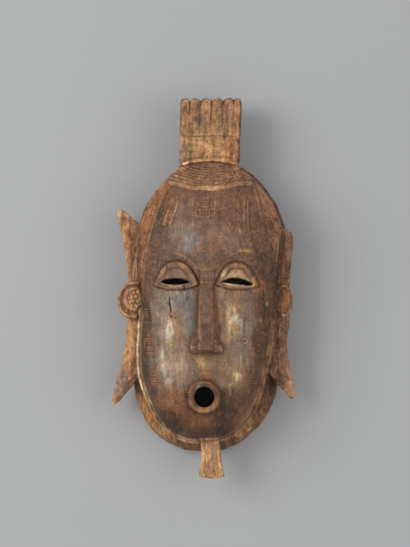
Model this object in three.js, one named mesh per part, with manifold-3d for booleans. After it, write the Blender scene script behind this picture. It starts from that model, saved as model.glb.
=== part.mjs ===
// A carved wooden mask: an oval face under a fluted crest, with ears and pointed wings at its sides.
// Millimetres, +Z up. It lies on its back rim with the face up and the crest along +Y.
// Places are measured from the middle of the eye line and up from the rim; the whole is centred last.
import * as THREE from "three";
import { mergeVertices } from "three/addons/utils/BufferGeometryUtils.js";
import Module from "manifold-3d";

const wasm = await Module();
wasm.setup();

// Oval outlines seen from the front: half widths above and below the eyes, and reach up and down
const SHELL = { upper: 78, lower: 79.5, up: 129, down: 163 };
const HEAD = { upper: 75, lower: 67.5, up: 126, down: 152.5 };
const HOLLOW = { upper: 67, lower: 67.5, up: 118, down: 151 };
const OVAL_POWER = 2.5; // 2 is an ellipse, and more is squarer
const FLAT_SIDE = 20; // below the eyes the sides run straight down this far
const LEAN = { crown: -1.5, shellChin: -7.2, faceChin: -9.2 }; // the chin is carved off the middle line

// Heights above the rim plane
const RIM_BEVEL_TOP = 15; // the outer wall stands straight up to here
const HEAD_EDGE = { upper: 30, lower: 42 };
const FACE = { eyes: 86, brow: 94, mouth: 90 };
const HOLLOW_BELOW_FACE = 11;
const DOME = { foot: 2.6, crown: 2.3 }; // how squarely the dome leaves its edge and rounds over
const BEAD = { lift: 3.2, width: 2.6 }; // the raised line around cheeks and chin

// The mesh of the shell
const SPOKES = 70;
const HEAD_RINGS = [0.16, 0.33, 0.49, 0.63, 0.75, 0.84, 0.91, 0.96, 0.99];
const HOLLOW_RINGS = [1, 0.97, 0.88, 0.7, 0.4];
const MIDDLE = { x: -4, y: -12 };

// The crest, a plate with a scalloped top and six flutes on its upper half
const CREST = {
  foot: { y: 121.3, arch: 3.7, halfWidth: 29.6, middle: -0.9, front: 54, back: 27, root: 46 },
  line: { y: 151.3, halfWidth: 30, middle: -0.4, front: 51, back: 24 },
  top: { y: 187.6, halfWidth: 30.5, middle: 0.6, front: 47, back: 22 },
  rootDepth: 8,
  flutes: 6,
  fluteDepth: 2.3,
  scallop: 3.2,
  grooveDepth: 1.4,
};

// The beard tab, a small plate that flares downward, with shallow flutes
const BEARD = {
  root: { y: -149, halfWidth: 8.7, middle: -1, front: 47, back: 30 },
  waist: { y: -164, halfWidth: 8.2, middle: -0.6, front: 45.5, back: 31 },
  foot: { y: -187.4, halfWidth: 12.7, middle: 1.9, front: 43, back: 33 },
  flutes: 5,
  fluteDepth: 1.2,
  footRound: 2.4,
};

// The wings, one plate a side, from the notch at the hair down to the notch at the cheek
const WING = { front: 43, back: 25, bevel: 1.6, buried: 0.985 };
const WING_TIP = { thinning: 0.35, sweep: 7, reach: 105 }; // the tips are thinner and lean back
const LEFT_WING = {
  side: -1,
  notch: { top: 63, foot: -87.8 },
  outline: [
    [-88.8, 80.6], [-93.9, 79], [-93.6, 71.6], [-88.1, 52.2], [-84, 23.5], [-81.6, 4], [-81.6, -28],
    [-84.4, -34], [-84.8, -52.8], [-91.7, -81.5], [-98.9, -107.7], [-97.9, -115.7], [-92.1, -111.7],
    [-84.1, -103], [-77.6, -95],
  ],
};
const RIGHT_WING = {
  side: 1,
  notch: { top: 62, foot: -83.9 },
  outline: [
    [74, 60], [81, 56.9], [83, 50.9], [80.5, 32.9], [79, 3], [79, -27], [77.2, -43.6], [75.6, -56],
    [78.4, -76.5], [83.3, -101.3], [83.9, -107.7], [79.9, -111.2], [72.6, -102.8], [66.6, -96.8],
  ],
};

// Ears: ovals that tilt outward from the side of the head, with a rim and an inner ring
const LEFT_EAR = { side: -1, x: -73.5, y: -12.1, halfWidth: 18.2, halfHeight: 18 };
const RIGHT_EAR = { side: 1, x: 66, y: -16, halfWidth: 15.6, halfHeight: 14.6 };
const EAR = { outerHeight: 41, slope: 0.72 };
const EAR_PROFILE = [
  [0.5, -11], [0.95, -11], [1, 1.5], [0.93, 4], [0.8, 4], [0.7, 1.2], [0.56, 3.4], [0.38, 0.8],
  [0.15, 1.6],
];

// Eyes: a half-moon lid around a slit with a nearly flat foot
const LEFT_EYE = {
  x: -31.7, foot: 0.7, halfWidth: 21.8, rise: 22, drop: 4.8,
  slit: { x: -32, halfWidth: 14, y: 1.6, rise: 5.8, drop: 0.8, tilt: 0.04 },
};
const RIGHT_EYE = {
  x: 28.6, foot: 0.4, halfWidth: 20.6, rise: 22, drop: 4.6,
  slit: { x: 28.2, halfWidth: 15.4, y: 2, rise: 5.6, drop: 0.7, tilt: -0.06 },
};
const LID_ARCH = 2.6;
const LID_PROFILE = [[0.35, -5], [1, -5], [1, 2.2], [0.95, 3], [0.84, 3], [0.78, 0.6], [0.35, -0.4]];
const LID_GROOVE = { width: 2.2, depth: 1.6, outside: 1.08, from: 0.04, to: 0.96 };

// Nose rows from the bridge to the tip: y, half width of the ridge and of the foot, lift off the face
const NOSE_ROWS = [
  [2, 6.2, 7.4, 1], [-8, 6.2, 7.8, 5], [-24, 6.3, 8.4, 9.5], [-40, 6.5, 9, 13], [-51, 6.6, 9.6, 16],
  [-59, 7.2, 11.5, 18], [-65, 8, 14, 17.5], [-66.4, 8, 13.6, 9],
];
const NOSE_MIDDLE = { bridge: -1.7, tip: -1.6 };
const NOSTRIL = { x: 9.4, y: -60.5, halfWidth: 6, halfHeight: 6.4 };
const NOSTRIL_PROFILE = [[0.5, -4], [1, -4], [1, 4.5], [0.8, 6.4], [0.6, 6.4], [0.45, 4.2]];

// The round mouth, a ring around a hole
const MOUTH = { x: -4.1, y: -108.8, ring: 16.2, hole: 10, sides: 24 };
const MOUTH_PROFILE = [[0.3, -4], [1, -4], [1, 1.5], [0.93, 6], [0.8, 7.4], [0.7, 7], [0.6, 3]];

const CUT = { from: 40, depth: 90 }; // the tools for eyes and mouth reach from the hollow past the face

// The hairline: a sagging arc over the forehead and a line down each temple
const HAIRLINE = { arcFoot: 94, arcSag: 0.0066, arcMiddle: 1, halfWidth: 67, middle: -30, up: 165 };
const HAIRLINE_ENDS = { top: 102, foot: 4, left: -36, right: 39 };
const HAIR_RIDGE = { width: 3.4, lift: 1.7, flat: 0.2 };
const CAP_ROWS = { count: 5, spacing: 5.2, lift: 1.3, width: 3, extraSag: 0.0012 };
const CAP_REACH = { low: 45, top: 30 }; // half the length of the lowest and of the topmost row
const STRIP_LOCKS = { count: 11, lift: 1.3, width: 3, along: 0.9, down: 0.42, top: 100, foot: 16 };
const HAIR_ROOT = -3; // ridges of hair start this far under the surface
const HAIR_EDGE = 0.97; // and end at this radius of the head

// Scars raised on the forehead and temples: middle, half width, half height and turn in degrees
const SCARS = [
  [-7.6, 80, 3, 3.2, 0], [0.2, 80, 3, 3.2, 0], [8, 80, 3, 3.2, 0],
  [-7.6, 72, 3, 3.2, 0], [0.2, 72, 3, 3.2, 0], [8, 72, 3, 3.2, 0],
  [-37, 71.5, 3.6, 13.5, -18], [31.5, 68, 2.4, 15, 3], [38.2, 67, 2.2, 14, 3],
  [-44.6, -57, 2.6, 2.6, 0], [36.4, -54.4, 2.6, 2.6, 0], [-35.7, -29, 3, 3, 45],
];
const SCAR_LIFT = 1.2;

const clamp = (v) => Math.min(1, Math.max(0, v));
const mix = (a, b, t) => a + (b - a) * t;
const range = (count) => Array.from({ length: count }, (_, i) => i);

function ease(from, to, v) {
  const t = clamp((v - from) / (to - from));
  return t * t * (3 - 2 * t);
}

// 0 above the eyes and 1 from the cheekbones down
const jaw = (y) => ease(10, -35, y);
const shellMiddle = (y) => mix(LEAN.crown, LEAN.shellChin, ease(5, -95, y));
const headMiddle = (y) => mix(LEAN.crown, LEAN.faceChin, ease(5, -95, y));

// The share of the way up or down an oval, from 0 at its middle to 1 at its end
function ovalRise(y, oval) {
  return y > 0 ? y / oval.up : Math.max(-y - FLAT_SIDE, 0) / (oval.down - FLAT_SIDE);
}

// 0 in the middle of an oval and 1 on its outline
function ovalRadius(x, y, oval, middle) {
  const across = Math.abs(x - middle) / mix(oval.upper, oval.lower, jaw(y));
  return (across ** OVAL_POWER + ovalRise(y, oval) ** OVAL_POWER) ** (1 / OVAL_POWER);
}

const shellRadius = (x, y) => ovalRadius(x, y, SHELL, shellMiddle(y));
const headRadius = (x, y) => ovalRadius(x, y, HEAD, headMiddle(y));
const hollowRadius = (x, y) => ovalRadius(x, y, HOLLOW, shellMiddle(y));

function headSide(y, side, share) {
  const halfWidth = mix(HEAD.upper, HEAD.lower, jaw(y));
  const open = (1 - ovalRise(y, HEAD) ** OVAL_POWER) ** (1 / OVAL_POWER);
  return headMiddle(y) + side * halfWidth * open * share;
}

const domed = (radius) => (1 - Math.min(radius, 1) ** DOME.foot) ** (1 / DOME.crown);
const headEdge = (y) => mix(HEAD_EDGE.upper, HEAD_EDGE.lower, jaw(y));

function faceMiddle(y) {
  const brow = (FACE.brow - FACE.eyes) * ease(0, 45, y);
  const mouth = (FACE.mouth - FACE.eyes) * ease(-60, -105, y);
  return FACE.eyes + brow + mouth;
}

function headHeight(x, y) {
  const edge = headEdge(y);
  return edge + (faceMiddle(y) - edge) * domed(headRadius(x, y));
}

const hollowHeight = (x, y) => (faceMiddle(y) - HOLLOW_BELOW_FACE) * domed(hollowRadius(x, y));

// A closed geometry as a solid, with its faces turned outward
function solidOf(geometry) {
  const plain = new THREE.BufferGeometry().setAttribute("position", geometry.getAttribute("position"));
  plain.setIndex(geometry.index);
  const merged = mergeVertices(plain, 1e-4);
  const make = (triVerts) =>
    new wasm.Manifold(
      new wasm.Mesh({ numProp: 3, vertProperties: merged.attributes.position.array, triVerts }),
    );
  const faces = new Uint32Array(merged.index.array);
  const made = make(faces);
  return made.volume() < 0 ? make(faces.reverse()) : made;
}

// A solid through rings of as many points each; a fan closes the first and the last
function loft(rings) {
  const count = rings[0].length;
  const points = rings.flat();
  const faces = [];
  for (const row of range(rings.length - 1))
    for (const i of range(count)) {
      const a = row * count + i;
      const b = row * count + ((i + 1) % count);
      faces.push(a, b, b + count, a, b + count, a + count);
    }
  for (const row of [0, rings.length - 1]) {
    const ring = rings[row];
    const tip = points.push([0, 1, 2].map((k) => ring.reduce((sum, p) => sum + p[k], 0) / count)) - 1;
    for (const i of range(count)) {
      const a = row * count + i;
      const b = row * count + ((i + 1) % count);
      faces.push(tip, ...(row ? [a, b] : [b, a]));
    }
  }
  const geometry = new THREE.BufferGeometry();
  geometry.setAttribute("position", new THREE.Float32BufferAttribute(points.flat(), 3));
  geometry.setIndex(faces);
  return solidOf(geometry);
}

// Rings that shrink toward the middle of an outline, each lifted off the surface under it
function mound(outline, middle, profile, surface = headHeight) {
  const ringAt = ([share, lift]) =>
    outline.map(([px, py]) => {
      const x = mix(middle.x, px, share);
      const y = mix(middle.y, py, share);
      return [x, y, surface(x, y) + lift];
    });
  return loft(profile.map(ringAt));
}

// A raised line along a path on the head, sharp or with a flat back; turned over it is a groove's cutter
function ridge(path, width, low, high, flat = 0) {
  const back = flat ? [[-flat, high], [flat, high]] : [[0, high]];
  const rings = path.map(([x, y], i) => {
    const before = path[Math.max(i - 1, 0)];
    const after = path[Math.min(i + 1, path.length - 1)];
    const length = Math.hypot(after[0] - before[0], after[1] - before[1]);
    const aside = [(before[1] - after[1]) / length, (after[0] - before[0]) / length];
    return [[-0.5, low], ...back, [0.5, low]].map(([share, lift]) => {
      const px = x + aside[0] * width * share;
      const py = y + aside[1] * width * share;
      return [px, py, headHeight(px, py) + lift];
    });
  });
  return loft(rings);
}

function circle(x, y, halfWidth, halfHeight, count) {
  return range(count).map((i) => {
    const turn = (2 * Math.PI * i) / count;
    return [x + halfWidth * Math.cos(turn), y + halfHeight * Math.sin(turn)];
  });
}

// The place on a ray from the shell's middle where an oval's radius reaches a level
function onRay(turn, radius, level) {
  const along = [Math.cos(turn) * SHELL.upper, Math.sin(turn) * SHELL.up];
  let near = 0;
  let far = 1.6;
  for (const _ of range(40)) {
    const half = (near + far) / 2;
    if (radius(MIDDLE.x + along[0] * half, MIDDLE.y + along[1] * half) < level) near = half;
    else far = half;
  }
  return [MIDDLE.x + along[0] * near, MIDDLE.y + along[1] * near];
}

function shell() {
  const turns = range(SPOKES).map((i) => (2 * Math.PI * i) / SPOKES);
  const ring = (radius, level, height) =>
    turns.map((turn) => {
      const [x, y] = onRay(turn, radius, level);
      return [x, y, height(x, y)];
    });
  // A ring just outside the head's edge, raised as a bead around the cheeks and sloping at the hair
  const beadRing = (share, lift, slope) =>
    turns.map((turn) => {
      const [x, y] = onRay(turn, headRadius, 1);
      const [outX, outY] = onRay(turn, shellRadius, 1);
      const room = Math.hypot(outX - x, outY - y);
      const step = (BEAD.width * share) / room;
      const drop = mix(-slope, lift, jaw(y));
      return [mix(x, outX, step), mix(y, outY, step), headEdge(y) + drop];
    });
  return loft([
    ...HEAD_RINGS.map((level) => ring(headRadius, level, headHeight)),
    beadRing(0.25, BEAD.lift, 1),
    beadRing(0.6, BEAD.lift, 3),
    beadRing(1, -2, 7),
    ring(shellRadius, 1, () => RIM_BEVEL_TOP),
    ring(shellRadius, 0.995, () => 0),
    ...HOLLOW_RINGS.map((level) => ring(hollowRadius, level, level === 1 ? () => 0 : hollowHeight)),
  ]);
}

// How round flutes swell across a plate, from 0 in a valley to 1 on a flute
function flute(share, count) {
  const across = 2 * ((share * count) % 1) - 1;
  return Math.sqrt(1 - across * across);
}

// A plate whose front is fluted: rows run from its root to its end
function flutedPlate(rows, flutes, stepsPerFlute) {
  const steps = flutes * stepsPerFlute;
  const rings = rows.map(({ y, middle, halfWidth, front, back, depth }) => {
    const across = (share) => middle + halfWidth * (2 * share - 1);
    const face = range(steps + 1).map((i) => {
      const share = i / steps;
      const swell = i === steps ? 0 : flute(share, flutes);
      return [across(share), y(share, swell), front - depth * (1 - swell)];
    });
    return [...face, [across(1), y(1, 0), back], [across(0), y(0, 0), back]];
  });
  return loft(rings);
}

function crest() {
  const { foot, line, top, rootDepth, grooveDepth, fluteDepth, scallop } = CREST;
  const arch = (share) => foot.y + foot.arch * (1 - (2 * share - 1) ** 2);
  const level = (y) => () => y;
  const rows = [
    { ...foot, y: (share) => arch(share) - rootDepth, front: foot.root, depth: 0 },
    { ...foot, y: (share) => arch(share), front: foot.root, depth: 0 },
    { ...foot, y: arch, depth: 0 },
    { ...foot, y: (share) => arch(share) + 3, front: foot.front + 0.8, depth: 0 },
    { ...foot, y: (share) => arch(share) + 5, front: foot.front - 0.6, depth: 0 },
    { ...line, y: level(line.y - 1.2), depth: 0 },
    { ...line, y: level(line.y), front: line.front - grooveDepth, depth: 0 },
    { ...line, y: level(line.y + 1.6), depth: fluteDepth * 0.7 },
    { ...top, y: (share, swell) => top.y - 3 + scallop * swell * 0.8, depth: fluteDepth },
    { ...top, y: (share, swell) => top.y + scallop * swell, front: top.front - 3.4, depth: fluteDepth },
  ];
  return flutedPlate(rows, CREST.flutes, 4);
}

function beard() {
  const { root, waist, foot, fluteDepth, footRound } = BEARD;
  const rounded = (share) => foot.y - footRound * (1 - (2 * share - 1) ** 2);
  const rows = [
    { ...root, y: () => root.y, depth: 0 },
    { ...root, y: () => root.y - 5, depth: 0 },
    { ...waist, y: () => waist.y, depth: fluteDepth },
    { ...foot, y: (share) => rounded(share) + 3, depth: fluteDepth },
    { ...foot, y: rounded, front: foot.front - 2, depth: fluteDepth },
  ];
  return flutedPlate(rows, BEARD.flutes, 3);
}

function wing({ side, notch, outline }) {
  const buriedSide = range(9).map((i) => {
    const y = mix(notch.foot, notch.top, i / 8);
    return new THREE.Vector2(headSide(y, side, WING.buried), y);
  });
  const shape = new THREE.Shape([...outline.map(([x, y]) => new THREE.Vector2(x, y)), ...buriedSide]);
  const geometry = new THREE.ExtrudeGeometry(shape, {
    depth: WING.front - WING.back - 2 * WING.bevel,
    bevelThickness: WING.bevel,
    bevelSize: WING.bevel,
    bevelOffset: -WING.bevel,
    bevelSegments: 1,
    steps: 1,
  });
  geometry.translate(0, 0, WING.back + WING.bevel);
  const middle = (WING.front + WING.back) / 2;
  const place = geometry.getAttribute("position");
  for (const i of range(place.count)) {
    const away = Math.abs(place.getY(i) - MIDDLE.y) / WING_TIP.reach;
    const thin = 1 - WING_TIP.thinning * ease(0.4, 1, away);
    place.setZ(i, middle - WING_TIP.sweep * away ** 2 + (place.getZ(i) - middle) * thin);
  }
  return solidOf(geometry);
}

function ear({ side, x, y, halfWidth, halfHeight }) {
  const outer = x + side * halfWidth;
  const tilted = (px) => EAR.outerHeight + EAR.slope * side * (outer - px);
  return mound(circle(x, y, halfWidth, halfHeight, 18), { x, y }, EAR_PROFILE, tilted);
}

// Points around a lid, or a slit, from its right corner over its arch and back along its foot
function halfMoon(x, y, halfWidth, rise, drop, count, tilt = 0) {
  return range(2 * count).map((i) => {
    const share = 1 - (2 * (i % count)) / count;
    const across = i < count ? share : -share;
    const open = 1 - Math.abs(across) ** LID_ARCH;
    const up = (i < count ? rise : -drop) * open;
    return [x + halfWidth * across, y + up + tilt * halfWidth * across];
  });
}

const lid = ({ x, foot, halfWidth, rise, drop }) =>
  mound(halfMoon(x, foot, halfWidth, rise, drop, 10), { x, y: foot + 4 }, LID_PROFILE);

// The cut line that follows the lid's arch a little outside it
function lidGroove({ x, foot, halfWidth, rise }) {
  const { width, depth, outside, from, to } = LID_GROOVE;
  const path = range(11).map((i) => {
    const across = 1 - 2 * mix(from, to, i / 10);
    return [
      x + halfWidth * outside * across,
      foot + 1 + rise * outside * (1 - Math.abs(across) ** LID_ARCH),
    ];
  });
  return ridge(path, width, 3, -depth);
}

function throughCut(points) {
  const shape = new THREE.Shape(points.map(([x, y]) => new THREE.Vector2(x, y)));
  const geometry = new THREE.ExtrudeGeometry(shape, { depth: CUT.depth, bevelEnabled: false, steps: 1 });
  geometry.translate(0, 0, CUT.from);
  return solidOf(geometry);
}

const eyeSlit = ({ slit }) =>
  throughCut(halfMoon(slit.x, slit.y, slit.halfWidth, slit.rise, slit.drop, 6, slit.tilt));

function nose() {
  const rings = NOSE_ROWS.map(([y, top, foot, lift], i) => {
    const x = mix(NOSE_MIDDLE.bridge, NOSE_MIDDLE.tip, i / (NOSE_ROWS.length - 1));
    const face = headHeight(x, y);
    return [
      [x - foot, y, face - 4],
      [x - top - 0.6, y, face + lift - 1.4],
      [x - top + 1.2, y, face + lift],
      [x + top - 1.2, y, face + lift],
      [x + top + 0.6, y, face + lift - 1.4],
      [x + foot, y, face - 4],
    ];
  });
  return loft(rings);
}

function nostril(side) {
  const x = NOSE_MIDDLE.tip + side * NOSTRIL.x;
  const { y, halfWidth: w, halfHeight: h } = NOSTRIL;
  const outline = [
    [x - w * 0.7, y + h * 0.6], [x, y + h], [x + w * 0.7, y + h * 0.6], [x + w, y - h * 0.4],
    [x + w * 0.9, y - h], [x - w * 0.9, y - h], [x - w, y - h * 0.4],
  ];
  return mound(outline, { x, y }, NOSTRIL_PROFILE);
}

const mouthCircle = (radius) => circle(MOUTH.x, MOUTH.y, radius, radius, MOUTH.sides);
const mouthRing = () => mound(mouthCircle(MOUTH.ring), MOUTH, MOUTH_PROFILE);
const mouthHole = () => throughCut(mouthCircle(MOUTH.hole));

const templeSide = (y) =>
  HAIRLINE.halfWidth * Math.sqrt(1 - ((y - HAIRLINE.middle) / HAIRLINE.up) ** 2);
const hairArc = (x, row) =>
  HAIRLINE.arcFoot + row * CAP_ROWS.spacing +
  (HAIRLINE.arcSag + row * CAP_ROWS.extraSag) * (x - HAIRLINE.arcMiddle) ** 2;

function hairline() {
  const { width, lift, flat } = HAIR_RIDGE;
  const temple = (side) =>
    range(9).map((i) => {
      const y = mix(HAIRLINE_ENDS.top, HAIRLINE_ENDS.foot, i / 8);
      return [side * templeSide(y), y];
    });
  const arc = range(9).map((i) => {
    const x = mix(HAIRLINE_ENDS.left, HAIRLINE_ENDS.right, i / 8);
    return [x, hairArc(x, 0)];
  });
  return [temple(-1), temple(1), arc].map((path) => ridge(path, width, HAIR_ROOT, lift, flat));
}

// Rows of hair between the hairline's arc and the crest, as wide as the head is there
function capRows() {
  const { count, width, lift } = CAP_ROWS;
  return range(count).map((i) => {
    const reach = mix(CAP_REACH.low, CAP_REACH.top, i / (count - 1));
    const path = range(8).map((step) => {
      const x = mix(-reach, reach, step / 7);
      return [x, hairArc(x, i + 1)];
    });
    return ridge(path.filter(([x, y]) => headRadius(x, y) < HAIR_EDGE), width, HAIR_ROOT, lift);
  });
}

// Locks that slant down and outward from the hairline to the edge of the head
function stripLocks(side) {
  const { count, along, down, width, lift, top, foot } = STRIP_LOCKS;
  return range(count).map((i) => {
    const y = mix(top, foot, i / (count - 1));
    const start = [side * (templeSide(y) + 1), y];
    const at = (length) => [start[0] + side * along * length, start[1] - down * length];
    let length = width;
    while (headRadius(...at(length + 1)) < HAIR_EDGE) length += 1;
    return ridge(range(3).map((step) => at((length * step) / 2)), width, HAIR_ROOT, lift);
  });
}

function scar([x, y, halfWidth, halfHeight, degrees]) {
  const turn = (degrees * Math.PI) / 180;
  const corners = [[1, 1], [-1, 1], [-1, -1], [1, -1]].map(([u, v]) => [
    x + u * halfWidth * Math.cos(turn) - v * halfHeight * Math.sin(turn),
    y + u * halfWidth * Math.sin(turn) + v * halfHeight * Math.cos(turn),
  ]);
  return mound(corners, { x, y }, [[1, -2], [0.75, SCAR_LIFT], [0.3, SCAR_LIFT]]);
}

function mask() {
  const eyes = [LEFT_EYE, RIGHT_EYE];
  const raised = [
    crest(), beard(), wing(LEFT_WING), wing(RIGHT_WING), ear(LEFT_EAR), ear(RIGHT_EAR),
    ...eyes.map(lid), nose(), nostril(-1), nostril(1), mouthRing(),
    ...hairline(), ...capRows(), ...stripLocks(-1), ...stripLocks(1), ...SCARS.map(scar),
  ];
  const cut = [...eyes.map(lidGroove), ...eyes.map(eyeSlit), mouthHole()];
  const whole = raised.reduce((sum, piece) => sum.add(piece), shell());
  return cut.reduce((rest, tool) => rest.subtract(tool), whole);
}

function meshOf(name, solid, material) {
  const { vertProperties, triVerts } = solid.getMesh();
  const geometry = new THREE.BufferGeometry();
  geometry.setAttribute("position", new THREE.BufferAttribute(vertProperties, 3));
  geometry.setIndex(new THREE.BufferAttribute(triVerts, 1));
  geometry.computeVertexNormals();
  const mesh = new THREE.Mesh(geometry, material);
  mesh.name = name;
  return mesh;
}

const wood = new THREE.MeshStandardMaterial({ color: 0x6e4c37, roughness: 0.55, metalness: 0 });
const part = new THREE.Group();
part.add(meshOf("mask", mask(), wood));

// The origin lies under the middle of the finished carving
const box = new THREE.Box3().setFromObject(part);
const middle = box.getCenter(new THREE.Vector3());
part.position.set(-middle.x, -middle.y, -box.min.z);

export default part;
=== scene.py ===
import math

import bmesh
import bpy
import numpy as np
import openvdb
from mathutils import Matrix, Vector


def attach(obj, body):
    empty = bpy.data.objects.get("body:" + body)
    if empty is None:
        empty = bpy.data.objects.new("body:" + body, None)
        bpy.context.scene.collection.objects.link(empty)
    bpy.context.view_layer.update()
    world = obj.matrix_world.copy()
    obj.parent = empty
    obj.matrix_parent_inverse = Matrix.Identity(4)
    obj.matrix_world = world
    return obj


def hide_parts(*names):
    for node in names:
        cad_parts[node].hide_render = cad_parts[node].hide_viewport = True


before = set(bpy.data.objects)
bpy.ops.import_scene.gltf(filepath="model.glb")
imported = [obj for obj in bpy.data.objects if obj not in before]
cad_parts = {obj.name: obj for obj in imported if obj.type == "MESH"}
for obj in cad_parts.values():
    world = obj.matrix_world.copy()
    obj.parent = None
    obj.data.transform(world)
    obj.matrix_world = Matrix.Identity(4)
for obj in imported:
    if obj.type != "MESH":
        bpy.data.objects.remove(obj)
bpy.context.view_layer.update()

# The grid that the carving is worked out on
STEP = 0.6
LOW = (-101.0, -193.5, -1.8)
HIGH = (87.0, 194.0, 106.0)
COUNT = [int(round((b - a) / STEP)) + 1 for a, b in zip(LOW, HIGH)]
XS, YS, ZS = ((low + STEP * np.arange(n)).astype(np.float32) for low, n in zip(LOW, COUNT))
X, Y = np.meshgrid(XS, YS, indexing="ij")

# Oval outlines seen from the front: half widths above and below the eyes, and reach up and down
SHELL = {"upper": 78, "lower": 79.5, "up": 129, "down": 163}
HEAD = {"upper": 75, "lower": 67.5, "up": 126, "down": 152.5}
HOLLOW = {"upper": 67, "lower": 67.5, "up": 118, "down": 151}
OVAL_POWER = 2.5
FLAT_SIDE = 20
LEAN = {"crown": -1.5, "shell_chin": -7.2, "face_chin": -9.2}
RIM_BEVEL_TOP = 15
HEAD_EDGE = {"upper": 30, "lower": 42}
FACE = {"eyes": 86, "brow": 94, "mouth": 90}
HOLLOW_BELOW_FACE = 11
DOME = {"foot": 2.6, "crown": 2.3}
BEAD = {"lift": 3.2, "width": 2.6}
FAR = 30.0


def mix(a, b, t):
    return a + (b - a) * t


def ease(a, b, v):
    t = np.clip((v - a) / (b - a), 0, 1)
    return t * t * (3 - 2 * t)


def bump(distance, width):
    """1 at distance 0, falling smoothly to 0 at width."""
    t = np.clip(np.abs(distance) / width, 0, 1)
    return (1 - t * t) ** 2


def steepness(field):
    across, along = np.gradient(field, STEP)
    return np.sqrt(across**2 + along**2)


def inside(radius):
    """Millimetres inside the outline where a radius is 1; negative outside it."""
    return (1 - radius) / np.maximum(steepness(radius), 1e-4)


def blur(field, across, along=None):
    """A Gaussian blur, in millimetres."""
    along = across if along is None else along
    fx = np.fft.fftfreq(field.shape[0], STEP)[:, None]
    fy = np.fft.rfftfreq(field.shape[1], STEP)[None, :]
    kernel = np.exp(-2 * math.pi**2 * ((fx * across) ** 2 + (fy * along) ** 2))
    return np.fft.irfft2(np.fft.rfft2(field) * kernel, s=field.shape).astype(np.float32)


def grain(seed, across, along=None):
    """Smooth noise of about unit size whose lumps are so many millimetres wide."""
    field = blur(np.random.default_rng(seed).standard_normal(X.shape), across, along)
    return field / field.std()


# How far the carver's outline lies to the right of the plain oval: y, then the left and the right side
UPPER_SHIFT = [
    (126, 2, 0), (118, 3.6, -0.4), (112, 4.4, -0.4), (106, 4.4, -0.4), (100, 3.4, 0), (94, 1.8, 0.8),
    (88, 0.6, 2.2), (80, 0, 2.6), (72, 0, 3.2), (64, 0.2, 3.6), (54, 1.2, 2.4), (44, 3, -0.5),
    (32, 4.4, -3.5), (14, 4.4, -5), (-14, 2.6, -4), (-34, 0, -1.5), (-56, 0, 0),
]
SHELL_SHIFT = UPPER_SHIFT + [
    (-88, 0.4, 0), (-100, 0.4, 1.0), (-116, -1.4, 2.6), (-126, -2.0, 2.0), (-134, -2.6, 1.2), (-144, -2.6, 0),
    (-152, -1, -1), (-160, 1, -0.6),
]
HEAD_SHIFT = UPPER_SHIFT[:-3] + [
    (-14, 3, -4), (-34, 2.8, -1.5), (-56, 3, 0), (-88, 2.8, 0), (-99, 3.2, 0), (-110, 3.8, 0), (-122, 4.2, 0),
    (-134, 3.4, 0), (-147, 3, 0), (-153, 1, 0),
]

JAW = ease(10, -35, Y)
EDGE_LEVEL = mix(HEAD_EDGE["upper"], HEAD_EDGE["lower"], JAW)
BROW_RISE = (FACE["brow"] - FACE["eyes"]) * ease(0, 45, Y)
MOUTH_RISE = (FACE["mouth"] - FACE["eyes"]) * ease(-60, -105, Y)
FACE_LEVEL = FACE["eyes"] + BROW_RISE + MOUTH_RISE


def read_rows(rows, y):
    """Reads rows that start with a level: every further column at each y."""
    levels, *columns = np.array(sorted(rows)).T
    return [np.interp(y, levels, column) for column in columns]


def oval_radius(oval, chin, shift=None):
    """0 in the middle of an oval and 1 on it; a shift turns the plain oval into the carver's outline."""
    middle = mix(LEAN["crown"], LEAN[chin], ease(5, -95, Y))
    half = mix(oval["upper"], oval["lower"], JAW)
    x = X
    if shift:
        share = np.clip((X - middle) / half / 2 + 0.5, 0, 1)
        x = X - mix(*read_rows(shift, Y), share)
    below = np.maximum(-Y - FLAT_SIDE, 0) / (oval["down"] - FLAT_SIDE)
    rise = np.where(Y > 0, Y / oval["up"], below)
    return ((np.abs(x - middle) / half) ** OVAL_POWER + rise**OVAL_POWER) ** (1 / OVAL_POWER)


SHELL_RADIUS = oval_radius(SHELL, "shell_chin", SHELL_SHIFT)
HEAD_RADIUS = oval_radius(HEAD, "face_chin", HEAD_SHIFT)
HOLLOW_RADIUS = oval_radius(HOLLOW, "shell_chin")
IN_SHELL = inside(SHELL_RADIUS)
IN_HEAD = inside(HEAD_RADIUS)


def window(low, high):
    """The part of the grid between two corners."""
    starts = [max(int((low[k] - LOW[k]) / STEP), 0) for k in (0, 1)]
    ends = [min(int((high[k] - LOW[k]) / STEP) + 2, COUNT[k]) for k in (0, 1)]
    return slice(starts[0], ends[0]), slice(starts[1], ends[1])


def spread(view, values, rest=0.0):
    """A window's values on the whole grid."""
    whole = np.full(X.shape, rest, np.float32)
    whole[view] = values
    return whole


def line(points, reach):
    """Near a polyline: the window of the grid, and each place's distance to it, side and share along it."""
    points = np.asarray(points, float)
    view = window(points.min(0) - reach, points.max(0) + reach)
    x, y = X[view], Y[view]
    nearest = np.full(x.shape, 1e9)
    side = np.zeros(x.shape)
    share = np.zeros(x.shape)
    lengths = np.hypot(*np.diff(points, axis=0).T)
    done = np.concatenate([[0], np.cumsum(lengths)]) / lengths.sum()
    for k, (a, b) in enumerate(zip(points[:-1], points[1:])):
        d = b - a
        t = np.clip(((x - a[0]) * d[0] + (y - a[1]) * d[1]) / (d @ d), 0, 1)
        gap = np.hypot(x - a[0] - t * d[0], y - a[1] - t * d[1])
        closer = gap < nearest
        nearest = np.where(closer, gap, nearest)
        share = np.where(closer, mix(done[k], done[k + 1], t), share)
        side = np.where(closer, np.sign((y - a[1]) * d[0] - (x - a[0]) * d[1]), side)
    return view, nearest, side, share


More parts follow.
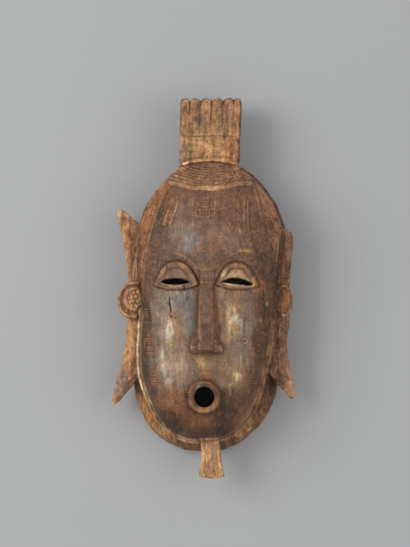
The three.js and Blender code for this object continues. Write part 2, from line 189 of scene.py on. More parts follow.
def stroke(field, points, width, lift, taper=0.0):
    """Raises a field along a polyline, or cuts it where lift is negative; taper thins its ends."""
    view, gap, _, share = line(points, width)
    ends = np.clip(np.minimum(share, 1 - share) / taper, 0, 1) ** 0.6 if taper else 1.0
    field[view] += lift * bump(gap, width) * ends


def smooth_path(points, count=24):
    """More points on a smooth curve through a few."""
    points = np.asarray(points, float)
    out = []
    for s in np.linspace(0, len(points) - 1, count):
        i = min(int(s), len(points) - 2)
        t = s - i
        a, b, c, d = (points[min(max(i + k, 0), len(points) - 1)] for k in (-1, 0, 1, 2))
        bend = (2 * a - 5 * b + 4 * c - d) * t**2 + (3 * b - a - 3 * c + d) * t**3
        out.append(b + ((c - a) * t + bend) / 2)
    return np.array(out)


def share_of(outline, middle, reach=1.25):
    """In a window around an outline: 0 at its middle and 1 on it, then about the millimetres inside it."""
    from_middle = np.asarray(outline, float) - middle
    view = window(middle + from_middle.min(0) * reach, middle + from_middle.max(0) * reach)
    x, y = X[view] - middle[0], Y[view] - middle[1]
    turns = np.arctan2(*from_middle.T[::-1])
    radii = np.hypot(*from_middle.T)
    order = np.argsort(turns)
    away = np.hypot(x, y)
    share = away / np.interp(np.arctan2(y, x), turns[order], radii[order], period=2 * math.pi)
    return view, share, (1 - share) * away / np.maximum(share, 0.05)


def polygon_inside(outline, view=...):
    """Millimetres inside a closed outline; negative outside it."""
    x, y = X[view], Y[view]
    closed = np.vstack([outline, outline[:1]])
    crossings = np.zeros(x.shape, bool)
    gap = np.full(x.shape, 1e9, np.float32)
    for a, b in zip(closed[:-1], closed[1:]):
        d = b - a
        t = np.clip(((x - a[0]) * d[0] + (y - a[1]) * d[1]) / max(d @ d, 1e-9), 0, 1)
        gap = np.minimum(gap, np.hypot(x - a[0] - t * d[0], y - a[1] - t * d[1]))
        if a[1] != b[1]:
            spans = (a[1] > y) != (b[1] > y)
            crossings ^= spans & (x < d[0] * (y - a[1]) / d[1] + a[0])
    return np.where(crossings, gap, -gap)


def profile(share, rows):
    """Reads a lift from rows of share and lift."""
    return np.interp(share, *zip(*rows))


def half_circle(step):
    """The swell of flutes side by side: 1 in the middle of each whole step and 0 at its ends."""
    return np.sqrt(np.maximum(1 - (2 * (step % 1) - 1) ** 2, 0))


# The face, as a height above the rim plane
face_dome = (1 - np.minimum(HEAD_RADIUS, 1) ** DOME["foot"]) ** (1 / DOME["crown"])
HEAD_HEIGHT = EDGE_LEVEL + (FACE_LEVEL - EDGE_LEVEL) * face_dome

# The collar outside it, with a bead at its inner edge where the face meets it in a soft step
collar_drop = mix(7, 2, JAW)
width = np.maximum(np.maximum(IN_SHELL, 0) - IN_HEAD, 0.5)
share = np.clip((-IN_HEAD - BEAD["width"]) / np.maximum(width - BEAD["width"], 0.4), 0, 1)
start = EDGE_LEVEL - collar_drop
slope = start + (RIM_BEVEL_TOP - start) * share**0.9
lift = mix(-2.0, BEAD["lift"], JAW)
bead = EDGE_LEVEL + lift - (lift + collar_drop) * ease(1.4, BEAD["width"] + 0.3, -IN_HEAD)
collar = np.where(-IN_HEAD < BEAD["width"], np.maximum(bead, slope), slope)
edge_line = EDGE_LEVEL + mix(-1.2, BEAD["lift"], JAW) * bump(IN_HEAD + 0.6, 2.2)
collar = np.where(HEAD_RADIUS < 1, edge_line, collar).astype(np.float32)
relief = np.zeros(X.shape, np.float32)

# Blocks that stand on the head: a top, a bottom and an outline over a window of the grid
blocks = []


def add_block(view, top, bottom, outline, round_by, join):
    norm = np.sqrt(1 + np.minimum(steepness(top), 4) ** 2)
    blocks.append((view, *(np.asarray(a, np.float32) for a in (top, bottom, outline, norm)), round_by, join))


# Eyes: a half-moon lid around a slit with a nearly flat foot
LEFT_EYE = {"x": -31.7, "foot": 0.7, "half_width": 21.8, "rise": 22, "drop": 4.8}
RIGHT_EYE = {"x": 28.2, "foot": 0.4, "half_width": 20, "rise": 21, "drop": 4.6}
LID_ARCH = 2.6
LID_BAND = [(0, 1.2), (0.3, 1.3), (0.55, 1.2), (0.68, 0.5), (0.76, 1.7), (0.86, 2.2), (0.95, 2.3), (1, 1.5)]
LEFT_SLIT = [
    (-46.2, 4.4), (-44.2, 2.4), (-40, 1.2), (-32, 0.8), (-24.5, 1.0), (-20, 2.0), (-18.0, 3.1), (-20.5, 4.6),
    (-24.5, 6.0), (-29.4, 6.9), (-35.1, 6.9), (-41, 6.0),
]
RIGHT_SLIT = [
    (13.0, 3.3), (18, 2.0), (24, 1.4), (31, 0.6), (38, 0.1), (43.6, 0.8), (40.5, 3.2), (35.5, 5.4), (30, 6.9),
    (25, 7.3), (20, 6.4), (16, 4.9),
]


def half_moon(x, foot, half_width, rise, drop, count=60):
    across = np.cos(np.linspace(0, math.pi, count))
    arch = 1 - np.abs(across) ** LID_ARCH
    upper = np.stack([x + half_width * across, foot + rise * arch], 1)
    lower = np.stack([x - half_width * across, foot - drop * arch], 1)
    return np.vstack([upper, lower[1:-1]])


def smooth_loop(points):
    closed = [points[-1], *points, points[0], points[1]]
    per = 4
    steps = smooth_path(closed, per * (len(closed) - 1) + 1)
    return steps[per:-per]


cut = np.full(X.shape, -FAR, np.float32)
lid_share = np.full(X.shape, 9, np.float32)
for eye, slit in ((LEFT_EYE, LEFT_SLIT), (RIGHT_EYE, RIGHT_SLIT)):
    view, share, outline = share_of(half_moon(**eye), (eye["x"], eye["foot"] + 4))
    x, y = X[view], Y[view]
    # The lid bulges a little over the slit, and a thin lower lid stands under it
    slit = np.array(slit)
    slit_x, slit_y = slit.mean(0)
    over = bump(np.hypot((x - slit_x) / 15, (y - slit_y - 5.6) / 5.4), 1) * 1.4
    under = bump(y - slit_y + 5.0, 1.7) * 0.8 * (share < 0.86)
    height = HEAD_HEIGHT[view] + np.where(share < 1, profile(share, LID_BAND) + over + under, -1)
    add_block(view, height, height - 12, outline, 0.8, 0.3)
    inner_side = ease(-14, 4, (x - eye["x"]) * (1 if eye is LEFT_EYE else -1))
    relief[view] -= (0.9 + 0.9 * inner_side) * bump(outline + 1.4, 1.5) * (y > eye["foot"] - 2)
    relief[view] -= 0.8 * bump(outline + 1.0, 1.1) * (y < eye["foot"] - 1)
    lid_share[view] = share
    near = window(slit.min(0) - 3, slit.max(0) + 3)
    cut[near] = np.maximum(cut[near], polygon_inside(smooth_loop(slit), near))

# The round mouth, a ring around a hole
MOUTH = {"x": -4.1, "y": -108.8, "ring": 16.2, "hole": 10}
MOUTH_RING = [(0, 1.5), (0.62, 2.6), (0.72, 4.6), (0.8, 6.0), (0.87, 6.5), (0.93, 5.6), (0.98, 2.8), (1, 0.8)]
view = window((MOUTH["x"] - 20, MOUTH["y"] - 20), (MOUTH["x"] + 20, MOUTH["y"] + 20))
away = np.hypot(X[view] - MOUTH["x"], Y[view] - MOUTH["y"])
height = HEAD_HEIGHT[view] + profile(away / MOUTH["ring"], MOUTH_RING)
add_block(view, height, height - 16, MOUTH["ring"] - away, 1.0, 1.2)
cut[view] = np.maximum(cut[view], MOUTH["hole"] - away)

# Nose rows from the bridge to the tip: y, half width of the ridge and of the foot, lift off the face
NOSE_ROWS = [
    (2, 6.0, 7.6, 1), (-8, 5.9, 8.2, 5), (-24, 5.9, 9.0, 9.5), (-40, 6.0, 9.6, 12.6), (-50, 6.0, 9.5, 15),
    (-57, 5.8, 9.4, 16.4), (-63.2, 6.5, 10.2, 16), (-65.2, 6.7, 10.4, 9),
]
NOSE_MIDDLE = -1.65
view = window((-20, -70), (17, 6))
y = Y[view]
top_width, foot_width, lift = read_rows(NOSE_ROWS, y)
across = np.abs(X[view] - NOSE_MIDDLE)
side_fall = np.clip((across - top_width - 0.6) / (foot_width - top_width - 0.6), 0, 1.6)
height = HEAD_HEIGHT[view] + lift - 1.2 * ease(-1.4, 0.6, across - top_width) - (lift + 2.6) * side_fall
outline = np.minimum(np.minimum(foot_width + 1 - across, y - NOSE_ROWS[-1][0]), 3.5 - y)
add_block(view, height, height - 40, outline, 0.7, 1.0)

# Nostrils: side, middle, half width and height, then the pit's middle and half sizes, and its depth
NOSTRILS = [
    (-1, -11.3, -58.4, 5.8, 6.9, (-11.6, -56.2, 4.2, 3.4), 2.8),
    (1, 8.2, -58.8, 6.0, 6.3, (9.0, -56.6, 3.4, 3.0), 1.6),
]
NOSTRIL_LEAF = [
    (0.5, 0.45), (-0.2, 0.98), (-0.8, 0.9), (-1, -0.4), (-0.9, -1), (0, -1.04), (0.9, -1), (1, -0.4),
    (0.5, 0.45),
]
NOSTRIL_TOP = [(0, 6.0), (0.5, 5.9), (0.8, 5.0), (1, 3.0)]
NOSTRIL_PIT = [(0, -1), (0.5, -0.8), (0.95, 0), (1.15, 0.35), (1.4, 0)]
NOSTRIL_TILT = 5.0
nostril_pit = np.full(X.shape, 9, np.float32)
for side, x, y, w, h, (px, py, pw, ph), depth in NOSTRILS:
    leaf = smooth_path(np.array(NOSTRIL_LEAF) * (side * w, h) + (x, y), 60)[:-1]
    view, share, outline = share_of(leaf, (x, y))
    lean = 0.45 * side * (px - X[view])
    pit = np.hypot((X[view] - px) / pw, (Y[view] - py - lean) / ph)
    nostril_pit[view] = pit
    tilt = NOSTRIL_TILT * np.clip(0.4 + side * (x - X[view]) / w / 1.6, 0, 1)
    height = HEAD_HEIGHT[view] + profile(share, NOSTRIL_TOP) + tilt + depth * profile(pit, NOSTRIL_PIT)
    add_block(view, height, height - 14, outline, 1.0, 0.3)

# Ears: ovals that tilt outward from the side of the head, with a rim and an inner ring
EARS = [
    {"side": -1, "x": -74.2, "y": -12.6, "half_width": 18.4, "half_height": 18.4, "level": 41, "slope": 0.72},
    {"side": 1, "x": 66.2, "y": -13.4, "half_width": 15.4, "half_height": 17, "level": 37, "slope": 0.12},
]
EAR_SLOPE_END = {"upper": 13.5, "lower": 8.5}
EAR_SQUARENESS = 2.4
EAR_RIM = [(0, 1.2), (0.72, 1.2), (0.8, 2.0), (0.86, 3.8), (0.94, 4.0), (1, 2.2)]
LEFT_EAR_HEART = {"x": -74.8, "y": -11.4, "ring": 12.8}
LEFT_EAR_RING = [(0, 0.6), (0.52, 0.4), (0.6, 1.0), (0.72, 2.4), (0.88, 2.6), (1, -0.2)]
RIGHT_EAR_DISH = {"x": 74.0, "y": -13.0, "half_width": 8.2, "half_height": 16}
RIGHT_EAR_BOWL = [
    (0, -1.4), (0.34, -1.2), (0.44, -0.5), (0.56, -1.6), (0.72, -0.6), (0.84, 1.6), (0.94, 1.7), (1.02, 0.4),
    (1.12, -1.6), (1.25, -1.8),
]
PEBBLES = [
    (-79.2, -6.2), (-75.6, -5.4), (-81.0, -10.4), (-77.2, -9.8), (-73.2, -9.2), (-79.6, -14.6),
    (-75.6, -14.0), (-71.6, -4.8), (-68.4, -1.8), (-72.2, -0.6), (-69.0, -7.4), (-71.4, -13.6),
    (-73.4, -18.0), (-69.2, -11.6), (-75.8, -1.8), (-66.2, -9.4), (-65.8, -4.8), (-68.8, 2.4), (-66.6, -14.6),
    (-77.4, -18.4), (-69.4, -17.4),
]
ear_zone = np.zeros(X.shape, np.float32)
heart_away = np.hypot(X - LEFT_EAR_HEART["x"], Y - LEFT_EAR_HEART["y"])
dish = RIGHT_EAR_DISH
dish_share = np.hypot((X - dish["x"]) / dish["half_width"], (Y - dish["y"]) / dish["half_height"])
for ear in EARS:
    x, y, side, w, h = (ear[key] for key in ("x", "y", "side", "half_width", "half_height"))
    view = window((x - w - 4, y - h - 4), (x + w + 4, y + h + 4))
    ex, ey = X[view], Y[view]
    across, along = np.abs(ex - x) / w, np.abs(ey - y) / h
    share = (across**EAR_SQUARENESS + along**EAR_SQUARENESS) ** (1 / EAR_SQUARENESS)
    outline = (1 - share) * h
    slope_end = EAR_SLOPE_END["upper"]
    over_face = ease(0.5, -0.5, IN_HEAD[view])
    if side < 0:
        # The lower end of the left ear stays outside the bead along the face
        slope_end = mix(EAR_SLOPE_END["lower"], slope_end, ease(-26, -14, ey))
        bead_clear = ease(-22, -15, ey)
        outline = np.minimum(outline, mix(-3.2, 2.4, bead_clear) - IN_HEAD[view])
        over_face = ease(0.6, -0.6, IN_HEAD[view] - mix(-3.2, 2, bead_clear))
    tilted = ear["level"] + ear["slope"] * np.minimum(side * (x + side * w - ex), slope_end)
    height = tilted + profile(share, EAR_RIM)
    if side < 0:
        inner_ring = profile(heart_away[view] / LEFT_EAR_HEART["ring"], LEFT_EAR_RING) - 0.6
        height += np.where(share < 0.84, inner_ring * ease(-65, -71, ex), 0)
        for px, py in PEBBLES:
            height += 1.7 * bump(np.hypot(ex - px, ey - py), 2.1)
    else:
        height += profile(dish_share[view], RIGHT_EAR_BOWL)
    add_block(view, height, tilted - 11, outline, 1.6, 1.0)
    ear_zone[view] = np.maximum(ear_zone[view], ease(1.04, 0.96, share) * over_face)

# Wings, one plate a side, from the notch at the hair down to the notch at the cheek
WING = {"middle": 34, "half": 9, "thinning": 0.35, "sweep": 7, "reach": 105, "center": -12}
LEFT_WING = [
    (-90.4, 80.4), (-93.9, 79.4), (-94.0, 71.6), (-88.6, 52.2), (-84, 23.5), (-81.6, 4), (-81.6, -28),
    (-84.4, -34), (-84.8, -52.8), (-91.7, -81.5), (-99.2, -108.5), (-99, -118), (-92.6, -112.9),
    (-84.1, -103), (-77.6, -95), (-72.2, -88), (-62, -84), (-62, 60), (-69, 63),
]
RIGHT_WING = [
    (73, 61.5), (77.2, 58.6), (80.4, 57.0), (83.6, 52.6), (83.8, 43), (80.9, 32.9), (79.2, 3), (79, -27),
    (77.2, -43.6), (75.6, -56), (78.4, -76.5), (83.3, -101.3), (83.9, -107.7), (79.9, -111.2), (72.6, -102.8),
    (66.6, -96.8), (57.8, -84), (50, -80), (52, 55), (64, 62),
]
wing_zone = np.zeros(X.shape, np.float32)
away = np.abs(Y - WING["center"]) / WING["reach"]
wing_middle = WING["middle"] - WING["sweep"] * away**2
wing_half = WING["half"] * (1 - WING["thinning"] * ease(0.4, 1, away))
for outline in (LEFT_WING, RIGHT_WING):
    inner = polygon_inside(np.array(outline)) + 0.1 * grain(31, 1.6)
    view = window(np.min(outline, 0) - 2, np.max(outline, 0) + 2)
    top = wing_middle + wing_half
    if outline is LEFT_WING:
        # A broad bevel along the outer edge of the lower wing
        top = top - 2.6 * ease(5.5, 0.5, inner) * ease(-25, -60, Y)
    add_block(view, top[view], (wing_middle - wing_half)[view], inner[view], 2.2, 2.6)
    wing_zone = np.maximum(wing_zone, ease(-0.6, 0.4, inner))
wing_zone *= ease(0.6, -0.6, IN_HEAD)

# A rounded bead along the edge of the face, from the hair past the ears to the chin
BEAD_ROUND = {"level": 42, "half": 2.7, "middle": -0.7, "left_top": 52, "right_top": -20, "end": -134}
off_bead = IN_HEAD - BEAD_ROUND["middle"]
bead_reach = np.where(X < 0, BEAD_ROUND["left_top"], BEAD_ROUND["right_top"]) - Y
left_lift = 1.0 + 1.4 * ease(30, 0, Y) + 1.6 * ease(0, -24, Y) + 3.4 * bump(Y + 22, 13)
bead_lift = np.where(X < 0, left_lift, 2.4) * ease(BEAD_ROUND["end"], -112, Y)
bead_top = BEAD_ROUND["level"] + bead_lift - 1.0 * (off_bead / BEAD_ROUND["half"]) ** 2
bead_outline = np.minimum(BEAD_ROUND["half"] - np.abs(off_bead), 0.3 * bead_reach)
bead_outline = np.minimum(bead_outline, Y - BEAD_ROUND["end"])
view = window((-80, BEAD_ROUND["end"] - 2), (78, BEAD_ROUND["left_top"] + 2))
add_block(view, bead_top[view], (bead_top - 9)[view], bead_outline[view], 1.3, 0.8)

# The crest, a plate with a scalloped top and six flutes on its upper half
CREST = {
    "foot": 120.6, "line": 151.3, "top": 187.4, "arch": 4.7, "root_depth": 8, "depth": 1.9, "scallop": 3.6,
}
FLUTE_EDGES = [0, 0.155, 0.333, 0.513, 0.706, 0.886, 1]
# Rows of a plate: level, half width, middle, height of the front and of the back
CREST_ROWS = [
    (CREST["foot"], 29.6, -0.9, 54, 27), (CREST["line"], 30, -0.4, 51, 24), (CREST["top"], 30.5, 0.6, 47, 22),
]
BEARD_ROWS = [
    (-187.4, 12.7, 1.5, 43, 33), (-176, 10.4, 0.8, 44.2, 32), (-164, 9.2, 0.2, 45.5, 31),
    (-149, 9.1, -0.3, 47, 30),
]
view = window((-34, 108), (34, 193.5))
x, y = X[view], Y[view]
half_width, middle, front, back = read_rows(CREST_ROWS, y)
across = (x - middle) / half_width
share = np.clip((across + 1) / 2, 0, 0.9999)
step = np.interp(share, FLUTE_EDGES, np.arange(len(FLUTE_EDGES)))
swell = half_circle(step)
above = y - CREST["foot"] - CREST["arch"] * (1 - across**2)
end = CREST["top"] + CREST["scallop"] * swell - y
from_line = y - CREST["line"]
roll_width = 2.6 + 1.4 * ease(-0.6, 0.9, across)
front += 1.5 * bump((above - 1.4) / roll_width, 1) - 0.6 * bump(above - 2.4 - roll_width, 1.4)
front -= CREST["depth"] * (1 - swell) ** 1.4 * ease(0.2, 22, from_line)
front -= 0.8 * bump(from_line - 0.3 * np.sin(x * 0.2), 1.0) + 3.0 * ease(-4.5, 0.5, -end) ** 2
front = np.where(above < 0, 46, front)
inward = (1 - np.abs(across)) * half_width
outline = np.minimum(np.minimum(inward, end), above + CREST["root_depth"])
add_block(view, front, back, outline, 1.3, 0.7)
crest_end = spread(view, np.minimum(end, 0.8 + 1.1 * inward), FAR)
flute_gap = spread(view, np.abs(step - np.round(step)) * 10 + np.maximum(end - 5, 0), FAR)
crest_zone = spread(view, ease(-0.8, 0.4, np.minimum(outline, above)))
# The crown of the head comes up to the foot of the crest
crown = np.minimum(0.6 - above, np.minimum(y - 106, 30 - np.abs(x + 0.9)))
crown_top = np.minimum(52.6 + 0.5 * np.maximum(-above, 0), 58)
add_block(view, crown_top, np.full(x.shape, 38), crown, 3.0, 2.5)

# The beard tab, a small plate that flares downward, with five shallow flutes
view = window((-16, -193), (19, -140))
x, y = X[view], Y[view]
half_width, middle, front, back = read_rows(BEARD_ROWS, y)
across = (x - middle) / half_width
swell = half_circle(5 * np.clip((across + 1) / 2, 0, 0.9999))
above = y - BEARD_ROWS[0][0] + 2.4 * (1 - np.minimum(across**2, 1))
front -= 0.45 * (1 - swell) * ease(-152, -160, y) + 1.6 * ease(3.5, -0.5, above)
outline = np.minimum(np.minimum((1 - np.abs(across)) * half_width, above), -144 - y)
add_block(view, front, back, outline, 1.5, 0.8)
beard_zone = spread(view, ease(-0.8, 0.4, np.minimum(outline, -149.5 - y)))

# Finer carving, as millimetres added to the surface
LEFT_HAIRLINE = [(-37, 104), (-44.6, 90), (-49.6, 77.6), (-56, 58), (-60.6, 41.6), (-63.5, 24.7), (-66, 3)]
RIGHT_HAIRLINE = [(43.9, 100.6), (46.2, 92.2), (49.6, 79.8), (51.6, 70), (53.4, 62.4)]
HAIR_ARC = [(-38, 103.6), (-26, 99.6), (-13.8, 96.5), (7.1, 95.6), (20, 97.9), (29.9, 101), (41, 102.6)]
TEMPLE_EDGE = [(21, 65.2), (36, 61.5), (62, 53.4), (80, 49.6), (92, 46.2), (101, 43.9)]
CAP_ROW = 3.2
STRIP_FOOT = {"left": 14, "right": 24}
left_out = read_rows([(y, x) for x, y in LEFT_HAIRLINE], Y)[0] - X
right_out = X - read_rows(TEMPLE_EDGE, Y)[0]
# Rows of hair above the hairline's arc: 0 on the arc and 1 more for each row
rows = (Y - 95.4 - 0.0066 * (X - 1) ** 2) / (CAP_ROW + 0.0006 * (X - 1) ** 2)
crest_gap = CREST["foot"] + CREST["arch"] * (1 - ((X + 0.9) / 29.6) ** 2) - Y
under_crest = np.where(np.abs(X + 0.9) < 30, ease(0.4, 1.6, crest_gap), 1)
cap_zone = ease(0.3, 0.6, rows) * ease(-0.5, 1.5, IN_HEAD) * under_crest
below_arc = ease(0.25, -0.1, rows) * ease(0, 3, IN_HEAD)
strip_left = ease(0.8, 2.2, left_out) * below_arc * ease(STRIP_FOOT["left"] - 8, STRIP_FOOT["left"], Y)
strip_right = ease(0.8, 2.6, right_out) * below_arc * ease(STRIP_FOOT["right"] - 8, STRIP_FOOT["right"], Y)
hair_zone = np.clip(cap_zone + strip_left + strip_right, 0, 1)

# Rows on the cap: fine curved lines at the left, and slanting pits like plaits from the middle to the right
hand = grain(41, 3.0, 2.2)
row = rows + 0.10 * hand
row_wave = np.cos(2 * math.pi * row)
row_place = row - np.floor(row) - 0.5
along_row = X / 2.9 + 0.5 * np.floor(row) + 0.5 * row_place + 0.08 * hand
dash = bump((along_row % 1) - 0.5, 0.42)
leftward = ease(-4, -20, X)
pits = bump(row_place, 0.46) * dash * (1 - 0.7 * leftward)
plaits = -0.95 * pits * (0.8 + 0.3 * hand) + (0.10 + 0.30 * leftward) * row_wave
relief += cap_zone * plaits

# Slanting strokes down the left temple, scaly lower down, and staggered dots down the right one
slant = math.radians(28)
hand = grain(42, 2.2)
left_phase = (-X * math.sin(slant) + Y * math.cos(slant)) / 2.5 + 0.14 * hand
scale_phase = (X * math.sin(0.95) + Y * math.cos(0.95)) / 2.7 + 0.18 * hand
scaly = ease(86, 70, Y)
relief += strip_left * (0.36 - 0.08 * scaly + 0.10 * hand) * np.cos(2 * math.pi * left_phase)
relief += strip_left * scaly * (0.20 + 0.10 * grain(44, 3)) * np.cos(2 * math.pi * scale_phase)
right_phase = (X * math.sin(slant) + Y * math.cos(slant)) / 2.7 + 0.16 * hand
side_phase = -IN_HEAD / 2.8 + 0.12 * hand
braids = 0.17 * np.cos(2 * math.pi * right_phase) + 0.17 * np.cos(2 * math.pi * side_phase)
relief += strip_right * braids * (1 + 0.6 * grain(45, 4))
relief -= 0.3 * hair_zone * np.maximum(grain(43, 0.8) - 0.9, 0)
relief += ease(2.8, 1.2, np.abs(IN_HEAD - 1.8)) * 0.5 * ease(30, 60, Y) * (X < 0)
view, gap, _, share = line(smooth_path(HAIR_ARC), 4)
relief[view] += 1.1 * ease(2.9, 1.5, gap) * (1 - 0.3 * ease(0.6, 0.8, share))
for x in (-15.2, -8.2, -1.4, 2.6):
    notch = 97.2 + 0.0066 * x * x
    stroke(relief, [(x - 0.4, notch), (x + 0.4, notch)], 1.3, 0.6)

# Marks on the forehead: two rows of small signs, a line under them and three dots
SIGNS = [
    [(-4.6, 82), (0.2, 82)], [(-4.6, 79.4), (0.2, 79.4)], [(-4.6, 76.9), (0.2, 76.9)],
    [(3.3, 82.8), (3.3, 75.2)], [(6.8, 82.8), (6.8, 75.2)],
    [(-12.2, 74.2), (-7.4, 74.2), (-7.4, 68), (-12.2, 68), (-12.2, 74.2)], [(-4.6, 73.4), (0.2, 73.4)],
    [(-4.6, 70.9), (0.2, 70.9)], [(1.8, 74.2), (6.6, 74.2), (6.6, 68.2), (1.8, 68.2), (1.8, 74.2)],
    [(12.2, 74), (8.4, 74), (8.4, 68.4), (12.2, 68.4)], [(-10.6, 66.6), (10.2, 66.6)],
]
DOTS = [
    (-9.6, 80, 1.9), (10.2, 80.6, 1.6), (4.2, 71.2, 1.3), (1, 64.2, 1.3), (6.3, 63.6, 1.3), (6.1, 60.2, 1.2),
]
sign_lift = np.zeros(X.shape, np.float32)
for path in SIGNS:
    stroke(sign_lift, path, 1.15, 0.9)
for x, y, r in DOTS:
    stroke(sign_lift, [(x - 0.1, y), (x + 0.1, y)], r, 0.9)
# The ground between the signs is sunk a little
sign_ground = ease(15.5, 12.5, np.abs(X - 0.2)) * ease(10.5, 8.2, np.abs(Y - 75.2))
relief += np.minimum(sign_lift, 1.0) - 0.45 * sign_ground

# Marks at the temples: a hatched bar with a sharp edge, and a ladder between two lines
BAR_EDGE = [(-29.4, 83), (-32.2, 74), (-35, 65.5), (-38.4, 56.8)]
stroke(relief, BAR_EDGE, 1.3, 1.25, 0.1)
stroke(relief, [(40.5, 46), (41.6, 41), (43.6, 36.5)], 0.9, 0.5, 0.2)
view, gap, side, share = line([(-29.6, 83.4), (-38.6, 56.6)], 9)
along, across = share * 30.5, -side * gap
bar = ease(0, 1, across) * ease(8.4, 6.8, across) * (share > 0.01) * (share < 0.99)
hatch = np.cos(2 * math.pi * (along + across) / 3.0) + np.cos(2 * math.pi * (along - across) / 3.0)
hatched_bar = spread(view, bar)
relief[view] += bar * (0.45 + 0.2 * hatch)
stroke(relief, [(-32, 84.4), (-36.4, 81.4), (-42, 64.5), (-44.6, 57.4)], 1.0, 0.4, 0.1)
stroke(relief, [(24.4, 72.4), (26, 73.6), (27.8, 72.4), (27.6, 70.2), (25.2, 69.8), (24.4, 72.4)], 1.0, 0.45)
LADDER = [(29.4, 1.2, 0.6), (32.2, 1.2, -0.35), (35.2, 1.3, 0.5), (38.4, 1.3, 0.7), (40.6, 1.2, -0.35)]
for x, width, lift in LADDER:
    stroke(relief, [(x, 84), (x + 0.3, 68), (x + 0.9, 53)], width, lift, 0.08)
for y in np.arange(53, 66, 2.6):
    stroke(relief, [(34.9, y), (38.4, y + 0.2)], 0.9, 0.55)
for x, y, r, lift in (
    (31, 52.4, 1.4, 1.0), (35.6, 52, 1.5, 1.1), (28.4, 84, 1.6, 0.7), (46.2, 47.2, 1.3, 0.8),
    (34, 57, 1.2, 0.6), (29.2, 60.5, 1.1, 0.6), (43.4, 50.4, 1.0, 0.6),
):
    stroke(relief, [(x - 0.2, y), (x + 0.2, y)], r, lift)

# Groups of short cuts near the edges of the cheeks
CUT_GROUPS = [
    (-65.4, -55.6, [-24, -26.2, -28.3, -30.4, -32.5]), (-63.4, -56, [-36.8]),
    (-63.4, -54, [-53, -55.3, -57.6, -62.2, -64.2]), (-61.8, -52.6, [-66.8, -69]),
    (-57.4, -49.2, [-89.4, -91.9, -94.4, -97]), (43.6, 51.4, [-59.4, -61.6, -63.6, -65.4]),
    (38.8, 45.4, [-91.4, -93.8, -96.2]),
]
cut_marks = np.zeros(X.shape, np.float32)
for low, high, levels in CUT_GROUPS:
    for y in levels:
        stroke(relief, [(low, y), (high, y - 0.2)], 0.9, -0.55, 0.08)
        stroke(cut_marks, [(low, y + 1.1), (high, y + 0.9)], 0.95, 0.75, 0.1)
for x, low, high in ((-65.2, -23, -33.6), (-60.4, -25, -31.5), (-63.8, -52, -66), (-56.4, -88.4, -97.6)):
    stroke(cut_marks, [(x, low), (x + 0.6, high)], 0.8, 0.5, 0.1)
relief += np.minimum(cut_marks, 0.9)


def ring(x, y, radius, lift, inner, corners=24):
    angles = np.linspace(0, 2 * math.pi, corners + 1)
    stroke(relief, [(x + radius * math.cos(a), y + radius * math.sin(a)) for a in angles], 1.2, lift)
    stroke(relief, [(x - 0.1, y), (x + 0.1, y)], radius * 0.6, inner)


# Small rings and diamonds on the cheeks, and a ring between the brows
RINGS = {"left": (-45.2, -57.2), "right": (35.7, -54.4), "diamond": (-35.9, -30.2)}
ring(*RINGS["left"], 2.6, 0.9, 0.7)
ring(*RINGS["right"], 2.4, 1.2, 0.4)
ring(*RINGS["diamond"], 3.2, 0.9, 0.9, 4)
ring(-59.4, -60.6, 1.9, 0.6, 0.5, 4)
ring(-53.2, -92.6, 1.5, 0.5, 0.5, 4)
ring(-1.2, 10.9, 1.8, 0.45, -0.3)

